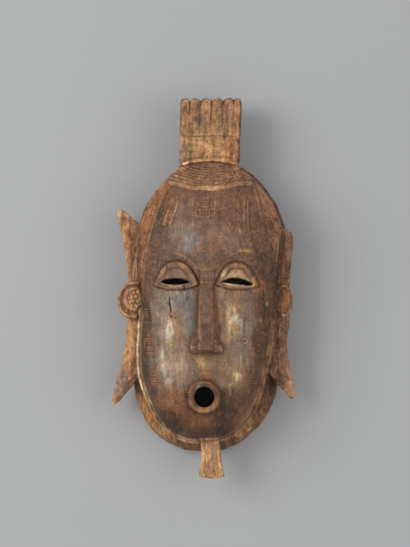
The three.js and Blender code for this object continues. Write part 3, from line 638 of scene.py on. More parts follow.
# Cuts and ridges along smooth lines: width, lift, how far the ends thin, and the path
LEFT_BROW = [
    (-35.5, 30.2), (-31.3, 30.8), (-26.8, 29.4), (-21.4, 26.4), (-17.1, 22.8), (-12.5, 18.2), (-9.6, 14),
]
STROKES = [
    # The hairlines
    (1.7, 1.3, 0.2, *LEFT_HAIRLINE[:5]),
    (1.7, 0.25, 0.2, *LEFT_HAIRLINE[4:]),
    (1.6, 0.8, 0.2, *RIGHT_HAIRLINE),
    # Brow lines, and the small patch between the eyes
    (1.3, 0.8, 0.3, *LEFT_BROW),
    (1.2, 0.45, 0.3, (-50, 13), (-46.5, 19.5), (-42, 24.6)),
    (1.7, 0.7, 0.3, (19, 25.6), (26, 30.4), (33.6, 33), (42, 32.4)),
    (1.2, 0.35, 0.3, (41, 29.6), (46, 24), (50, 16)),
    (1.0, 0.6, 0, (-7.8, 14.7), (6.2, 14.7)),
    (1.0, 0.7, 0, (-7.8, 2.8), (6.2, 2.8)),
    (1.0, 0.35, 0, (-7.8, 5.2), (6.2, 5.2)),
    (1.0, 0.35, 0, (-7.8, 7.4), (6.2, 7.4)),
    (1.1, -0.55, 0, (-8.3, 14), (-8.3, 3)),
    (1.1, -0.55, 0, (6.7, 14), (6.7, 3)),
    # Cuts at the mouth
    (1.0, -0.7, 0, (-6.6, -93.2), (2.6, -93.2)),
    (1.0, -1.2, 0.1, (-23.8, -106.2), (-17.4, -106.4)),
    (1.0, -1.2, 0.1, (-23.6, -108.6), (-17.4, -108.7)),
    (1.0, -1.2, 0.1, (6.6, -109.2), (11.8, -109)),
    (1.0, -1.2, 0.1, (6, -111.4), (11, -111.8)),
    # Grooves and ridges between the left wing and the hair
    (1.2, -0.5, 0.08, (-72.5, 64), (-74.6, 52), (-75.4, 36), (-75.6, 20), (-75, 6)),
    (1.4, 0.6, 0.15, (-70.4, 66), (-71.8, 56), (-71.2, 46)),
    (1.7, 0.9, 0.1, (-70.6, 38), (-73.6, 34), (-75.8, 24), (-77.2, 10)),
    (1.1, -0.8, 0.2, (-76.8, 41), (-71.5, 33)),
    (1.0, -0.6, 0.2, (-77.6, 33.5), (-72.6, 41.5)),
    # The same at the right wing, and the chips at its broken end
    (1.2, -0.7, 0.08, (68.2, 66), (68.6, 50), (70, 34), (71, 12)),
    (1.1, -0.9, 0.2, (60.2, 44), (63.8, 34), (65.4, 28)),
    (1.1, -0.9, 0.2, (66, 44), (65.8, 36), (65.4, 28)),
    (1.1, -0.9, 0.2, (68, 58), (73, 61)),
    (2.0, -1.6, 0, (74.2, 60.6), (75, 60)),
    (1.7, -1.3, 0, (78.2, 57.4), (79, 56.8)),
    (1.6, -1.2, 0, (81.2, 53.4), (82, 52.8)),
    (1.4, -0.8, 0, (83, 46), (83.8, 45.4)),
    # A lengthwise swell on each wing, and cuts near the ears
    (5.5, 1.0, 0.1, (-86, 70), (-82, 45), (-79.5, 20)),
    (5.0, 1.3, 0.1, (-77, -38), (-78, -60), (-82, -85), (-90, -106)),
    (4.5, 0.7, 0.1, (76, 48), (75.5, 20)),
    (5.0, 1.0, 0.1, (72.5, -45), (73, -72), (78, -98), (81, -106)),
    (2.4, 0.9, 0.3, (-79.4, -86.6), (-80.4, -92.4)),
    (1.0, -0.7, 0.1, (67, -97), (73, -103.6), (79, -109)),
    (1.1, -0.6, 0.1, (70.5, 3.2), (79, 3.8)),
    (1.1, -0.6, 0.1, (70.5, 0.2), (79, 0.8)),
]
for width, lift, taper, *path in STROKES:
    stroke(relief, smooth_path(path), width, lift, taper)

# Between the nose and the mouth the wood is cut back to a soft wedge, with a small boss under it
wedge = ease(-66, -69, Y) * ease(-90, -80, Y) * ease(14.5, 8, np.abs(X + 2.2) + 0.6 * np.maximum(-70 - Y, 0))
relief += 0.6 * ease(6.2, 3.6, np.abs(X + 2.2)) * ease(5.6, 3.2, np.abs(Y + 88.3)) - 0.5 * wedge

# Two cracks that follow the grain
for path, width, depth, open_end in (
    ([(-38.5, -8.4), (-38.1, -14), (-37.4, -20), (-36.2, -27)], 1.15, 3.4, 1.0),
    ([(-23.9, 1.2), (-22.8, -3.4), (-21.2, -8.2), (-20.6, -12), (-20.2, -18)], 0.75, 2.4, 0.0),
):
    view, gap, _, share = line(path, 2)
    grows = mix(1 - 0.85 * share, 0.2 + 0.8 * share, open_end)
    open_by = width * grows * np.clip((1 - share) * 9, 0.05, 1) * np.clip(share * 9 + 0.2, 0, 1)
    relief[view] -= depth * np.clip(1 - gap / np.maximum(open_by, 0.05), 0, 1)

# The face is smooth but uneven; crest, collar, wings and beard show the blade and dried grain
face_zone = ease(0.5, 3, IN_HEAD) * (1 - hair_zone) * (1 - ear_zone)
rough_zone = np.clip(crest_zone + wing_zone + beard_zone + ease(1, -1, IN_HEAD), 0, 1)
relief += face_zone * (0.38 * grain(11, 8, 14) + 0.06 * grain(12, 0.7, 6) + 0.05 * grain(13, 1.6))
relief += rough_zone * (0.20 * grain(14, 2.4, 3.6) + 0.13 * grain(15, 0.75, 5))
relief -= rough_zone * 0.35 * np.maximum(grain(16, 0.8, 1.1) - 1.1, 0)
relief += ease(1, 4, -IN_HEAD) * ease(-1, 1, IN_SHELL) * (0.12 * grain(17, 2.0) + 0.16 * grain(20, 0.9, 1.3))
relief += beard_zone * 0.2 * np.cos(2 * math.pi * X / (1 - 0.009 * (Y + 160)) / 1.75 + 0.4 * grain(21, 3, 9))
relief -= 0.3 * np.maximum(grain(19, 1.4, 2.2) - 1.7, 0) * crest_zone
relief += crest_zone * ease(CREST["line"], CREST["line"] - 6, Y) * (0.22 * grain(22, 1.3, 1.7))

# The bead at the left of the face is thick and stands proud; scratches cross the edge of the chin
SCRATCHES = [
    [(-57.2, -123), (-52.6, -131), (-46.8, -138)], [(-33, -143), (-24.5, -145.4), (-14, -146)],
    [(-12, -147.6), (-5, -147.2)], [(-41, -141), (-36, -145)],
]
for path in SCRATCHES:
    stroke(relief, path, 1.0, 0.6, 0.3)
relief += 0.3 * bump(IN_HEAD + 1.0, 2.2) * ease(-20, -30, Y) * ease(-118, -96, Y) * (X < 0)

# Tool marks in the hollow
adze = (0.45 * grain(5, 6.0, 3.4) + 0.15 * grain(6, 2.0)) * ease(-0.5, 3, inside(HOLLOW_RADIUS))
relief, adze = relief.astype(np.float32), adze.astype(np.float32)


# The carving as a field over space: millimetres inside the wood, negative in the air
def soft_min(a, b, k):
    h = np.clip(0.5 + 0.5 * (b - a) / k, 0, 1)
    return b + (a - b) * h - k * h * (1 - h)


def soft_max(a, b, k):
    return -soft_min(-a, -b, k)


class Dome:
    """A dome over an oval, from the level of its foot."""

    def __init__(self, radius, foot, height):
        slope = DOME["foot"] * np.maximum(radius, 0.02) ** (DOME["foot"] - 1)
        slope = slope * np.maximum(steepness(radius), 1e-4)
        across = 1 - np.minimum(radius, 1.5) ** DOME["foot"]
        self.foot, self.height, self.across, self.slope = (
            np.asarray(a, np.float32) for a in (foot, height, across, slope)
        )

    def inside(self, z):
        """Millimetres inside the dome at a level."""
        rise = np.maximum(z - self.foot, 0) / self.height
        up = DOME["crown"] * rise ** (DOME["crown"] - 1) / self.height
        return (self.across - rise ** DOME["crown"]) / np.maximum(np.sqrt(self.slope**2 + up**2), 1e-3)


head_dome = Dome(HEAD_RADIUS, EDGE_LEVEL, FACE_LEVEL - EDGE_LEVEL)
hollow_dome = Dome(HOLLOW_RADIUS, 0, FACE_LEVEL - HOLLOW_BELOW_FACE)
collar_norm = np.sqrt(1 + np.minimum(steepness(blur(collar, 0.5)), 3) ** 2).astype(np.float32)
in_shell = IN_SHELL.astype(np.float32)

# No place stands higher than the highest top near it, so that no steep edge grows a fin
FIN_REACH = 3
ROUND = {"rim": 2.0, "face": 0.6, "hollow": 0.8, "slit": 0.7, "foot": 0.8}
SLITS_ABOVE = 40
FIELD_REACH = 2.5
ceiling = np.where(HEAD_RADIUS < 1, np.maximum(HEAD_HEIGHT, collar), collar) + 0.3
for view, top, _, outline, _, _, join in blocks:
    ceiling[view] = np.maximum(ceiling[view], np.where(outline > -STEP, top + join / 4, 0))
for axis in (0, 1):
    ceiling = np.max([np.roll(ceiling, k, axis) for k in range(-FIN_REACH, FIN_REACH + 1)], 0)
ceiling = (ceiling + np.maximum(relief, 0)).astype(np.float32)
field = np.empty(COUNT, np.float32)
for k, z in enumerate(ZS):
    wood = soft_min((collar - z) / collar_norm, in_shell, ROUND["rim"])
    if z >= HEAD_EDGE["upper"] - 2:
        wood = soft_max(wood, head_dome.inside(z), ROUND["face"])
    for view, top, bottom, outline, norm, round_by, join in blocks:
        if bottom.min() - 3 <= z <= top.max() + 3:
            block = soft_min(soft_min((top - z) / norm, outline, round_by), z - bottom, round_by)
            wood[view] = soft_max(wood[view], block, join)
    wood = np.minimum(wood + relief, ceiling - z)
    wood = soft_min(wood, -hollow_dome.inside(z) - adze, ROUND["hollow"])
    if z > SLITS_ABOVE:
        wood = soft_min(wood, -cut, ROUND["slit"])
    field[:, :, k] = np.clip(soft_min(wood, z, ROUND["foot"]), -FIELD_REACH, FIELD_REACH)

# Where the front surface lies
last = COUNT[2] - 1 - np.argmax(field[:, :, ::-1] > 0, 2)
below_top, above_top = (
    np.take_along_axis(field, np.minimum(last + k, COUNT[2] - 1)[..., None], 2)[..., 0] for k in (0, 1)
)
part_way = np.clip(below_top / np.maximum(below_top - above_top, 1e-6), 0, 1)
front = np.where(field.max(2) > 0, ZS[last] + STEP * part_way, 0).astype(np.float32)

# The mesh of the carving
SHIFT = np.array([7.5, -0.5053, 0.0])
MOST_FACES = 196000
grid = openvdb.FloatGrid(-FIELD_REACH)
grid.copyFromArray(field)
points, _, quads = grid.convertToPolygons(0.0, 0.0)
place = (points * STEP + np.array(LOW, np.float32) + SHIFT) / 1000
mesh = bpy.data.meshes.new("mask_carving")
mesh.from_pydata(place, [], quads[:, ::-1].tolist())
carving = bpy.data.objects.new("mask_carving", mesh)
bpy.context.scene.collection.objects.link(carving)
less = carving.modifiers.new("less", "DECIMATE")
less.ratio = min(MOST_FACES / (2 * len(quads)), 1)
less.use_collapse_triangulate = True
bpy.context.view_layer.objects.active = carving
carving.select_set(True)
bpy.ops.object.modifier_apply(modifier="less")
mesh = carving.data

# Loose crumbs of the mesh go, and the one carving stays
work = bmesh.new()
work.from_mesh(mesh)
unseen = set(work.verts)
groups = []
while unseen:
    group, waiting = [], [unseen.pop()]
    while waiting:
        vert = waiting.pop()
        group.append(vert)
        near = {edge.other_vert(vert) for edge in vert.link_edges} & unseen
        unseen -= near
        waiting.extend(near)
    groups.append(group)
groups.sort(key=len)
bmesh.ops.delete(work, geom=[v for group in groups[:-1] for v in group], context="VERTS")
work.to_mesh(mesh)
work.free()
mesh.polygons.foreach_set("use_smooth", np.ones(len(mesh.polygons), bool))
mesh.update()

# How far each place stands above or under its surroundings
proud = front - blur(front, 1.3)
wide_proud = front - blur(front, 4.5)
proud_wear = np.clip(proud / 0.35, 0, 1)
fine_grime = np.clip(-proud / 0.32, 0, 1)
# Fine grooves take grime; wider hollows are darkened as painted shade
wide_shade = np.clip(-wide_proud / 2.2, 0, 1)


def linear(colour):
    """Linear light from an sRGB colour of 0 to 255."""
    c = np.array(colour) / 255
    return np.where(c <= 0.04045, c / 12.92, ((c + 0.055) / 1.055) ** 2.4)


SOOT = (62, 45, 36)
CHAR = (76, 57, 45)
DARK = (92, 67, 51)
UMBER = (106, 78, 59)
PLUM = (104, 77, 62)
PATINA = (120, 88, 68)
MAUVE = (134, 104, 86)
RUSSET = (130, 88, 63)
RUST = (158, 106, 68)
ORANGE = (184, 124, 72)
AMBER = (202, 142, 76)
OCHRE = (168, 132, 92)
OLIVE = (138, 106, 76)
KHAKI = (148, 120, 86)
TAN = (160, 119, 87)
FAWN = (176, 131, 93)
SAND = (192, 150, 112)
PUTTY = (158, 132, 108)
STONE = (145, 127, 111)
SLATE = (143, 133, 127)
LILAC = (130, 108, 96)
CREAM = (230, 200, 162)
HONEY = (204, 156, 104)
CHALK = (224, 210, 184)
BONE = (196, 170, 138)
HOLLOW_BROWN = (92, 66, 48)
WALL_BROWN = (118, 85, 62)
WEDGE_TAN = (182, 150, 108)
ROSE_TAN = (186, 142, 122)
EAR_TAN = (172, 130, 104)
TEMPLE_BROWN = (144, 101, 73)
WING_BROWN = (136, 101, 79)

tone = np.full(X.shape + (3,), linear(PATINA), np.float32)
blotch_wide = grain(61, 9, 14)
blotch = grain(62, 3.0, 4.5)
fleck = grain(63, 1.0, 1.5)
streak = grain(64, 0.8, 9)


def paint(mask, colour, amount=1.0):
    global tone
    weight = np.clip(mask * amount, 0, 1)[..., None].astype(np.float32)
    tone = tone + (linear(colour).astype(np.float32) - tone) * weight


def layers(zone, rows):
    """Layers of colour inside a zone: mask, colour and amount."""
    for mask, colour, amount in rows:
        paint(zone * mask, colour, amount)


def patch(x, y, half_width, half_height, ragged=0.3, soft=0.5, turn=0.0):
    """A patch with an uneven edge, 1 in its middle."""
    c, s = math.cos(turn), math.sin(turn)
    u, v = (X - x) * c + (Y - y) * s, (Y - y) * c - (X - x) * s
    radius = np.hypot(u / half_width, v / half_height)
    return ease(1 + soft, 1 - soft, radius + ragged * (0.6 * blotch + 0.35 * fleck + 0.45 * streak))


def along(points, width, ragged=0.3):
    """A soft band of an uneven width along a smooth path."""
    view, gap, _, _ = line(smooth_path(points), width * 2.2)
    uneven = ragged * (0.5 * blotch[view] + 0.5 * fleck[view])
    return spread(view, ease(1.5, 0.5, gap / width + uneven))


def speckle(threshold, source=None):
    return ease(threshold, threshold + 0.5, fleck if source is None else source)


def spots(zone, rows):
    """Patches inside a zone: the colour, its amount, then the place and size."""
    for colour, amount, *place in rows:
        paint(zone * patch(*place), colour, amount)


def scuffs_and_highlights(zone, rows):
    """Patches broken up by the grain."""
    broken = speckle(-0.45, 0.75 * streak + 0.65 * fleck)
    for colour, amount, *place in rows:
        paint(zone * broken * patch(*place), colour, amount)


on_face = ease(-0.5, 1.0, IN_HEAD) * (1 - ear_zone)
collar_zone = ease(0.5, -1.0, IN_HEAD)
left, right = (X < -10).astype(np.float32), (X > 0).astype(np.float32)
bead_band = bump(off_bead, 3.6) * ease(0, 1, bead_reach) * (1 - ear_zone)

# The forehead, with blue-grey patina and a painted blue-grey sheen at its upper left, and the dark edges of
# the face, partly painted shade at the right where the face turns from the light
spots(on_face, [
    (MAUVE, 1, -5, 64, 38, 36), (MAUVE, 0.7, 14, 48, 26, 16), (PATINA, 0.8, 34, 76, 14, 30),
    (PLUM, 0.9, -52, 28, 14, 42), (PLUM, 0.8, -44, 78, 7, 22), (RUSSET, 0.6, -18, 90, 22, 7),
    (UMBER, 0.9, 54, 22, 12, 40), (DARK, 0.9, 60, -8, 9, 26), (LILAC, 0.8, -22, 34, 17, 10),
    (SLATE, 0.9, -18, 43, 11, 11), (STONE, 0.7, -28, 52, 9, 10), (UMBER, 0.6, 33, 24, 22, 6),
    (UMBER, 0.6, -24, 25, 16, 5), (RUSSET, 0.5, 22, 72, 10, 22), (MAUVE, 0.7, -2, 22, 9, 12),
    (RUST, 0.35, -40, 84, 8, 12), (RUST, 0.35, 36, 84, 12, 10), (RUST, 0.3, 0, 36, 26, 6),
    (PLUM, 0.3, 2, 56, 14, 12), (PLUM, 0.7, -45, 58, 6, 15), (TAN, 0.2, 6, 52, 18, 13),
])

# The cheeks: dark edges, at the right partly painted shade where the face turns from the light; greys at the
# left, worn patina with a painted sheen over it; gold and grey bands at the right that hold a painted
# highlight
uneven_in = IN_HEAD + 1.6 * blotch + 0.8 * fleck
layers(on_face * left * ease(2, -14, Y), [
    (ease(17, 11, uneven_in) * ease(-116, -100, Y), UMBER, 1),
    (ease(14, 7, uneven_in) * ease(-100, -80, Y), DARK, 0.95),
])
layers(on_face * right, [
    (ease(19, 11, uneven_in) * ease(34, 10, Y) * ease(-90, -60, Y), DARK, 0.95),
    (ease(14, 8, uneven_in) * ease(-60, -80, Y), UMBER, 0.9),
])
spots(on_face, [
    (UMBER, 0.6, -62, -50, 9, 62), (DARK, 0.8, -62, -44, 5, 12), (DARK, 0.7, -60, -74, 6, 20),
    (RUSSET, 0.8, -60, -29, 6, 7), (RUST, 0.5, -60, -62, 5, 7), (STONE, 1, -35, -38, 24, 46),
    (SLATE, 0.8, -25, -22, 12, 18), (STONE, 0.7, -47, -24, 9, 12), (SLATE, 0.6, -18, -42, 7, 20),
    (PUTTY, 1, -33, -74, 21, 28), (LILAC, 0.6, -49, -50, 5, 26), (PATINA, 0.8, -14, -66, 7, 10),
    (BONE, 0.5, -40, -52, 7, 22), (OCHRE, 0.7, -31, -40, 6, 15), (OCHRE, 0.7, -34, -62, 8, 10),
    (STONE, 0.5, -44, -78, 9, 22), (BONE, 0.4, -28, -78, 12, 14), (LILAC, 0.6, -14, -90, 10, 12),
    (PUTTY, 0.6, -34, -98, 14, 10), (PUTTY, 1, 27, -45, 19, 50), (OCHRE, 0.8, 24, -36, 12, 20),
    (FAWN, 1, 11, -22, 4.4, 26), (STONE, 0.7, 15, -15, 4, 13), (BONE, 0.6, 24, -40, 10, 18),
    (HONEY, 0.7, 21, -40, 7, 12, 0.6), (LILAC, 0.6, 28, -58, 8, 7), (TAN, 0.8, 29, -14, 6, 16),
    (LILAC, 0.9, 39, -30, 7, 40), (STONE, 0.6, 40, -52, 5, 14), (RUSSET, 0.8, 52, -10, 8, 18),
    (RUST, 0.6, 51, -2, 6, 6), (UMBER, 1, 51, -56, 8, 26), (DARK, 1, 61, -42, 9, 34),
    (UMBER, 0.8, 48, -92, 10, 22), (KHAKI, 0.6, 16, -74, 7, 18), (OCHRE, 0.9, 26, -88, 9, 10),
    (PUTTY, 0.6, 16, -96, 8, 10), (STONE, 0.5, 30, -60, 7, 10),
])

# Under the mouth and along the chin the surface is painted dark, dark wood partly mixed with painted shade
# where the chin curves away downward, and reddish at the left
spots(on_face, [
    (DARK, 1, -8, -138, 62, 26, 0.2), (UMBER, 0.8, -52, -118, 8, 16), (CHAR, 0.9, -54, -112, 5, 12),
    (RUSSET, 1, -34, -114, 19, 13), (RUST, 0.6, -34, -112, 13, 9), (RUSSET, 0.7, -14, -132, 12, 10),
    (CHAR, 0.8, -42, -132, 14, 8, 0.3, 0.5, -0.5), (UMBER, 0.8, 24, -116, 16, 14),
    (CHAR, 0.9, 20, -126, 8, 17), (SOOT, 0.8, 17, -139, 7, 9), (RUSSET, 0.7, 37, -132, 8, 17, 0.3, 0.5, -0.4),
    (UMBER, 0.7, 44, -112, 10, 14), (RUSSET, 0.5, -6, -136, 14, 6), (RUST, 0.5, -4, -128.6, 8, 4),
    (SOOT, 0.4, -2, -143, 22, 5), (RUST, 0.45, 38, -128, 7, 16, 0.5, 0.5, -0.5),
    (RUSSET, 0.3, 22, -132, 6, 9, 0.4),
])

# The nose, the place between the brows and the wedge under the nose
nose_zone = on_face * ease(12, 7, np.abs(X - NOSE_MIDDLE)) * ease(4, -2, Y) * ease(-70, -66, Y)
# The tan line down the left edge of the nose ridge is a painted highlight
layers(nose_zone, [(1, PATINA, 1), (bump(X - NOSE_MIDDLE + 6.2, 1.4) * ease(-2, -12, Y), TAN, 0.6)])
spots(nose_zone, [
    (MAUVE, 0.8, -3, -14, 4, 14), (MAUVE, 0.5, 0, -34, 4, 20), (UMBER, 0.7, 0, -48, 7, 12),
    (RUSSET, 0.8, 5.5, -20, 2.5, 44), (RUST, 0.5, 9.4, -58, 5, 6),
])
spots(on_face, [(MAUVE, 0.8, -1, 8, 7, 6), (RUSSET, 0.8, -11, -59, 5, 6)])
layers(on_face, [
    (wedge, WEDGE_TAN, 1), (patch(-2.4, -74, 5, 8, 0.1, 0.4), OCHRE, 0.6),
    (patch(-2.4, -88, 5.5, 5.5, 0.1, 0.3), RUST, 0.8), (ease(1.1, 0.8, nostril_pit), DARK, 0.8),
    (ease(0.8, 0.3, nostril_pit), RUSSET, 0.5), (bump(nostril_pit - 1.3, 0.3), FAWN, 0.8),
])

# The lids: an olive band, a paler panel and a dark line round them
lid_band = ease(0.70, 0.78, lid_share) * ease(1.02, 0.97, lid_share)
lid_panel = ease(0.68, 0.60, lid_share)
layers(lid_band, [(1, OLIVE, 0.95), (left, TAN, 0.45)])
layers(lid_panel, [
    (left, MAUVE, 0.9), (right, PUTTY, 0.8), (right, FAWN, 0.45), (right * speckle(0.4), HONEY, 0.4),
])
# The bone spot at the inner top of the right lid is a painted highlight
layers(lid_share < 1.05, [(patch(15, 13, 4, 7), BONE, 0.5), (patch(30, 16, 12, 4), TAN, 0.5)])
paint(bump(lid_share - 0.68, 0.05), DARK, 0.4)
paint(bump(lid_share - 1.05, 0.05) * (Y > -6), DARK, 0.6)

# The ring of the mouth
away = np.hypot(X - MOUTH["x"], Y - MOUTH["y"]) / MOUTH["ring"]
paint(ease(1.04, 0.98, away), RUSSET, 0.9)
paint(ease(1.0, 0.95, away) * ease(-110, -122, Y), OCHRE, 0.7)
paint(bump(away - 0.7, 0.12) * ease(-112, -102, Y), LILAC, 0.8)
paint(bump(away - 1.06, 0.1), DARK, 0.6)

# Hair and collar
layers(cap_zone, [(1, RUSSET, 0.5), (1, TAN, 0.35)])
layers(strip_left, [(1, RUST, 0.85), (ease(60, 40, Y), RUSSET, 0.6)])
paint(strip_right, TEMPLE_BROWN, 0.9)
view, gap, _, _ = line(smooth_path(HAIR_ARC), 5)
layers(spread(view, ease(3.0, 1.6, gap)), [(1, FAWN, 0.6), (ease(16, 4, np.abs(X + 2)), SAND, 0.9)])
chin = ease(-90, -116, Y)
worn_chin = speckle(0.3, 0.7 * blotch + 0.6 * fleck)
layers(collar_zone, [
    (1, UMBER, 1), (chin * ease(10, -24, X), AMBER, 0.9),
    (chin * ease(10, -24, X) * speckle(0.0, 0.7 * blotch + 0.7 * fleck), UMBER, 0.35),
])
spots(collar_zone, [
    (HONEY, 0.7, -48, -142, 8, 6, 0.4), (HONEY, 0.6, -62, -120, 5, 8, 0.4),
    (HONEY, 0.5, -36, -150, 7, 4, 0.4), (AMBER, 0.55, 26, -152, 14, 6, 0.5),
    (HONEY, 0.4, 34, -148, 8, 3, 0.6), (AMBER, 0.5, -18, -155, 12, 4, 0.5),
])
layers(collar_zone, [
    (ease(-90, -120, Y) * ease(8, 30, X), RUSSET, 0.8), (ease(-100, -124, Y) * ease(0, 14, X), RUST, 0.45),
    (ease(-110, -124, Y) * ease(0, 14, X) * worn_chin, HONEY, 0.4), (ease(-144, -154, Y), UMBER, 0.6),
    (ease(-100, -120, Y) * ease(4.5, 0.5, IN_SHELL), UMBER, 0.6),
    # Painted shadow: the soot on the shell's side wall under the lower left wing
    (ease(-80, -96, Y) * ease(-112, -100, Y) * left, SOOT, 0.7),
])

# Wings, ears, crest and beard
layers(wing_zone, [
    (left, FAWN, 0.9), (left * ease(0, 20, Y), SAND, 0.3), (right, WING_BROWN, 0.95),
])
# The honey spots along the left edge of the upper left wing are a painted highlight where that edge faces the
# light
spots(wing_zone, [
    (RUST, 0.7, -86, 56, 6, 14), (SAND, 0.6, -91, 78, 4, 6), (FAWN, 0.7, -76, -52, 6, 26),
    (SAND, 0.5, -76, -60, 4, 10), (LILAC, 0.8, -86, -92, 7, 13), (STONE, 0.8, -92, -100, 5, 8),
    (RUSSET, 0.6, -80, 30, 4, 26), (PATINA, 0.9, 76, 40, 8, 24), (TAN, 0.4, 72, 30, 2, 24),
    (TAN, 0.6, 78, 56, 5, 4), (PLUM, 0.8, 74, -56, 8, 12), (PATINA, 0.9, 76, -76, 8, 16),
    (TAN, 0.8, 78, -92, 8, 14), (DARK, 0.8, 69, -96, 5, 10), (DARK, 0.6, 77, 10, 5, 16),
    (UMBER, 0.7, -88, 70, 2.5, 12), (HONEY, 0.7, 82.6, -104, 1.4, 5, 0.5), (RUSSET, 0.5, -77, 54, 5, 20),
    (HONEY, 0.5, 79, -106, 3, 2, 0.5), (HONEY, 0.6, -92, 76, 1.6, 6, 0.5),
    (HONEY, 0.5, -87, 54, 1.4, 10, 0.6), (HONEY, 0.5, -76, 44, 1.6, 14, 0.6),
    (CREAM, 0.9, -98.6, -115.4, 2.0, 2.8, 0.4), (HONEY, 0.5, -80, -44, 2, 12, 0.6),
])
# The right ear is painted dark, partly as shade on the side away from the light; its dark inner ring and the
# umber at its left are painted rim shadows, and its fawn outer ring a painted highlight
layers(ear_zone, [
    (left, TAN, 0.9), (bump(heart_away - 10.6, 2.6) * ease(-64, -70, X), EAR_TAN, 0.8),
    (ease(8, 6.5, heart_away), OCHRE, 0.5), (right, DARK, 0.9),
    (right * ease(0.8, 0.6, dish_share), RUST, 0.9), (right * bump(dish_share - 0.56, 0.1), DARK, 0.8),
    (right * bump(dish_share - 0.92, 0.14), FAWN, 0.8),
])
spots(ear_zone * right, [
    (UMBER, 0.5, 69.0, -12, 2.6, 12), (ORANGE, 0.4, 76.0, -12, 2.6, 6, 0.5), (DARK, 0.8, 68.4, -28, 3, 3),
])
paint(crest_zone, TAN)
spots(crest_zone, [
    (HONEY, 0.7, -2, 141, 22, 16), (RUST, 0.3, 6, 138, 12, 9), (MAUVE, 0.7, -26, 132, 5, 16),
    (RUST, 0.8, 24, 138, 8, 15), (RUSSET, 0.5, 28, 135, 3, 12), (RUSSET, 0.5, -21, 178, 8, 12),
    (LILAC, 0.5, -8, 164, 5, 9), (FAWN, 0.6, 3, 170, 8, 14), (LILAC, 0.4, 14, 170, 4, 12),
    (RUST, 0.5, 26, 172, 4, 14), (RUSSET, 0.4, 17, 184, 10, 6), (RUSSET, 0.4, -24, 158, 6, 7),
])
# Painted shade: the crest darkens along its top end and sides, and in the notches between its upper flutes
paint(crest_zone * ease(2.0, 0.7, crest_end + 0.4 * fleck), SOOT, 0.75)
paint(crest_zone * ease(1.6, 0.5, flute_gap) * ease(160, 182, Y), SOOT, 0.8)
layers(beard_zone, [
    (1, SAND, 1), (1, FAWN, 0.4), (ease(-176, -184, Y), TAN, 0.5),
    (speckle(0.4, 0.8 * streak + 0.5 * fleck), RUST, 0.4),
])
# The honey streaks at the beard's left edge and right flange are painted highlights
spots(beard_zone, [(HONEY, 0.8, -8, -176, 2, 11, 0.3), (HONEY, 0.5, 9, -180, 3, 7, 0.3)])

# The far left of the cheek is painted nearly black, dark wood partly mixed with the painted shadow that the
# left ear's wall casts on it; the nose's right flank is painted lighter to lift the shade that falls on it
paint(on_face * ease(12, 7, uneven_in) * left * ease(-4, -18, Y) * ease(-104, -88, Y), CHAR, 0.8)
paint(on_face * patch(7.6, -30, 2.6, 26, 0.3), FAWN, 0.8)
spots(on_face, [(CHAR, 0.6, -60, -37, 5, 9)])

# Bare spots, pale scuffs and pale edges; the bright chalk and cream cores of the cheek scuffs are painted
# highlights
scuffs_and_highlights(on_face, [
    (CREAM, 0.8, -37.6, -43, 3.4, 11), (CHALK, 0.8, -37.9, -44, 2.0, 6.5, 0.8),
    (CHALK, 0.6, -39.4, -53, 1.6, 3), (CREAM, 0.6, -33, -32, 2.0, 5), (BONE, 0.4, -44.4, -68, 4.2, 14),
    (CHALK, 0.45, -45.4, -70, 2.0, 10, 1.2), (CHALK, 0.4, -38.8, -84, 2.6, 9, 0.7),
    (BONE, 0.5, -40.8, -97, 4.6, 6, 0.5), (CREAM, 0.6, -49, -27, 2.6, 1.2),
    (CREAM, 0.7, 23.5, -33, 8, 10, 0.7), (CHALK, 0.8, 26.6, -33.6, 2.6, 3.0, 0.9),
    (CREAM, 0.9, 20.2, -36.4, 2.2, 2.4), (CREAM, 0.8, 19.6, -45, 2.0, 2.4),
    (CREAM, 0.6, 26, -23, 2.6, 3, 0.6), (CREAM, 0.6, 34, -24, 1.8, 2, 0.6), (FAWN, 0.6, 51, -33, 1.6, 3, 0.6),
    (CREAM, 0.8, 27, -88, 4, 5, 0.7), (HONEY, 0.6, 21.6, -104, 1.2, 3.4, 0.7),
    (CREAM, 0.6, 34, 1, 3, 1.6, 0.6), (CREAM, 0.6, 31, 52, 1.4, 1.4), (CREAM, 0.6, 15, 11, 2, 5, 0.6),
    (BONE, 0.6, -33, -7, 14, 1.4, 0.5),
])
# The small chalk cores on the cheeks are painted highlights
spots(on_face, [
    (CHALK, 0.9, 56.8, -17.4, 0.9, 1.1, 0.1), (CHALK, 0.7, 46.4, 51.4, 1.0, 0.8, 0.1),
    (CHALK, 0.9, -9.2, -98.6, 1.2, 0.8, 0.1), (CHALK, 0.9, 26.6, -33.8, 1.8, 2.0, 1.2),
    (CHALK, 0.8, -37.9, -44.6, 1.4, 4.2, 1.3), (CHALK, 0.4, -45.6, -68, 1.6, 8, 1.2),
    (CREAM, 0.9, -35.6, -16.4, 1.6, 0.9, 0.2), (CREAM, 0.8, 21.4, -97, 1.2, 1.2, 0.2),
    (CREAM, 0.7, -24.4, -115.4, 1.2, 0.8, 0.1),
])
# The pale lines along the lower lids, under the slits, are painted highlights where the lids' top edges catch
# the light
paint(along([(-45, 3.2), (-37, -0.4), (-30, -1), (-22, 0.6)], 0.7, 0.1), BONE, 0.7)
paint(along([(15, 1.8), (22, -0.2), (30, -1.2), (38, -1.6), (44, -0.4)], 0.7, 0.1), BONE, 0.6)
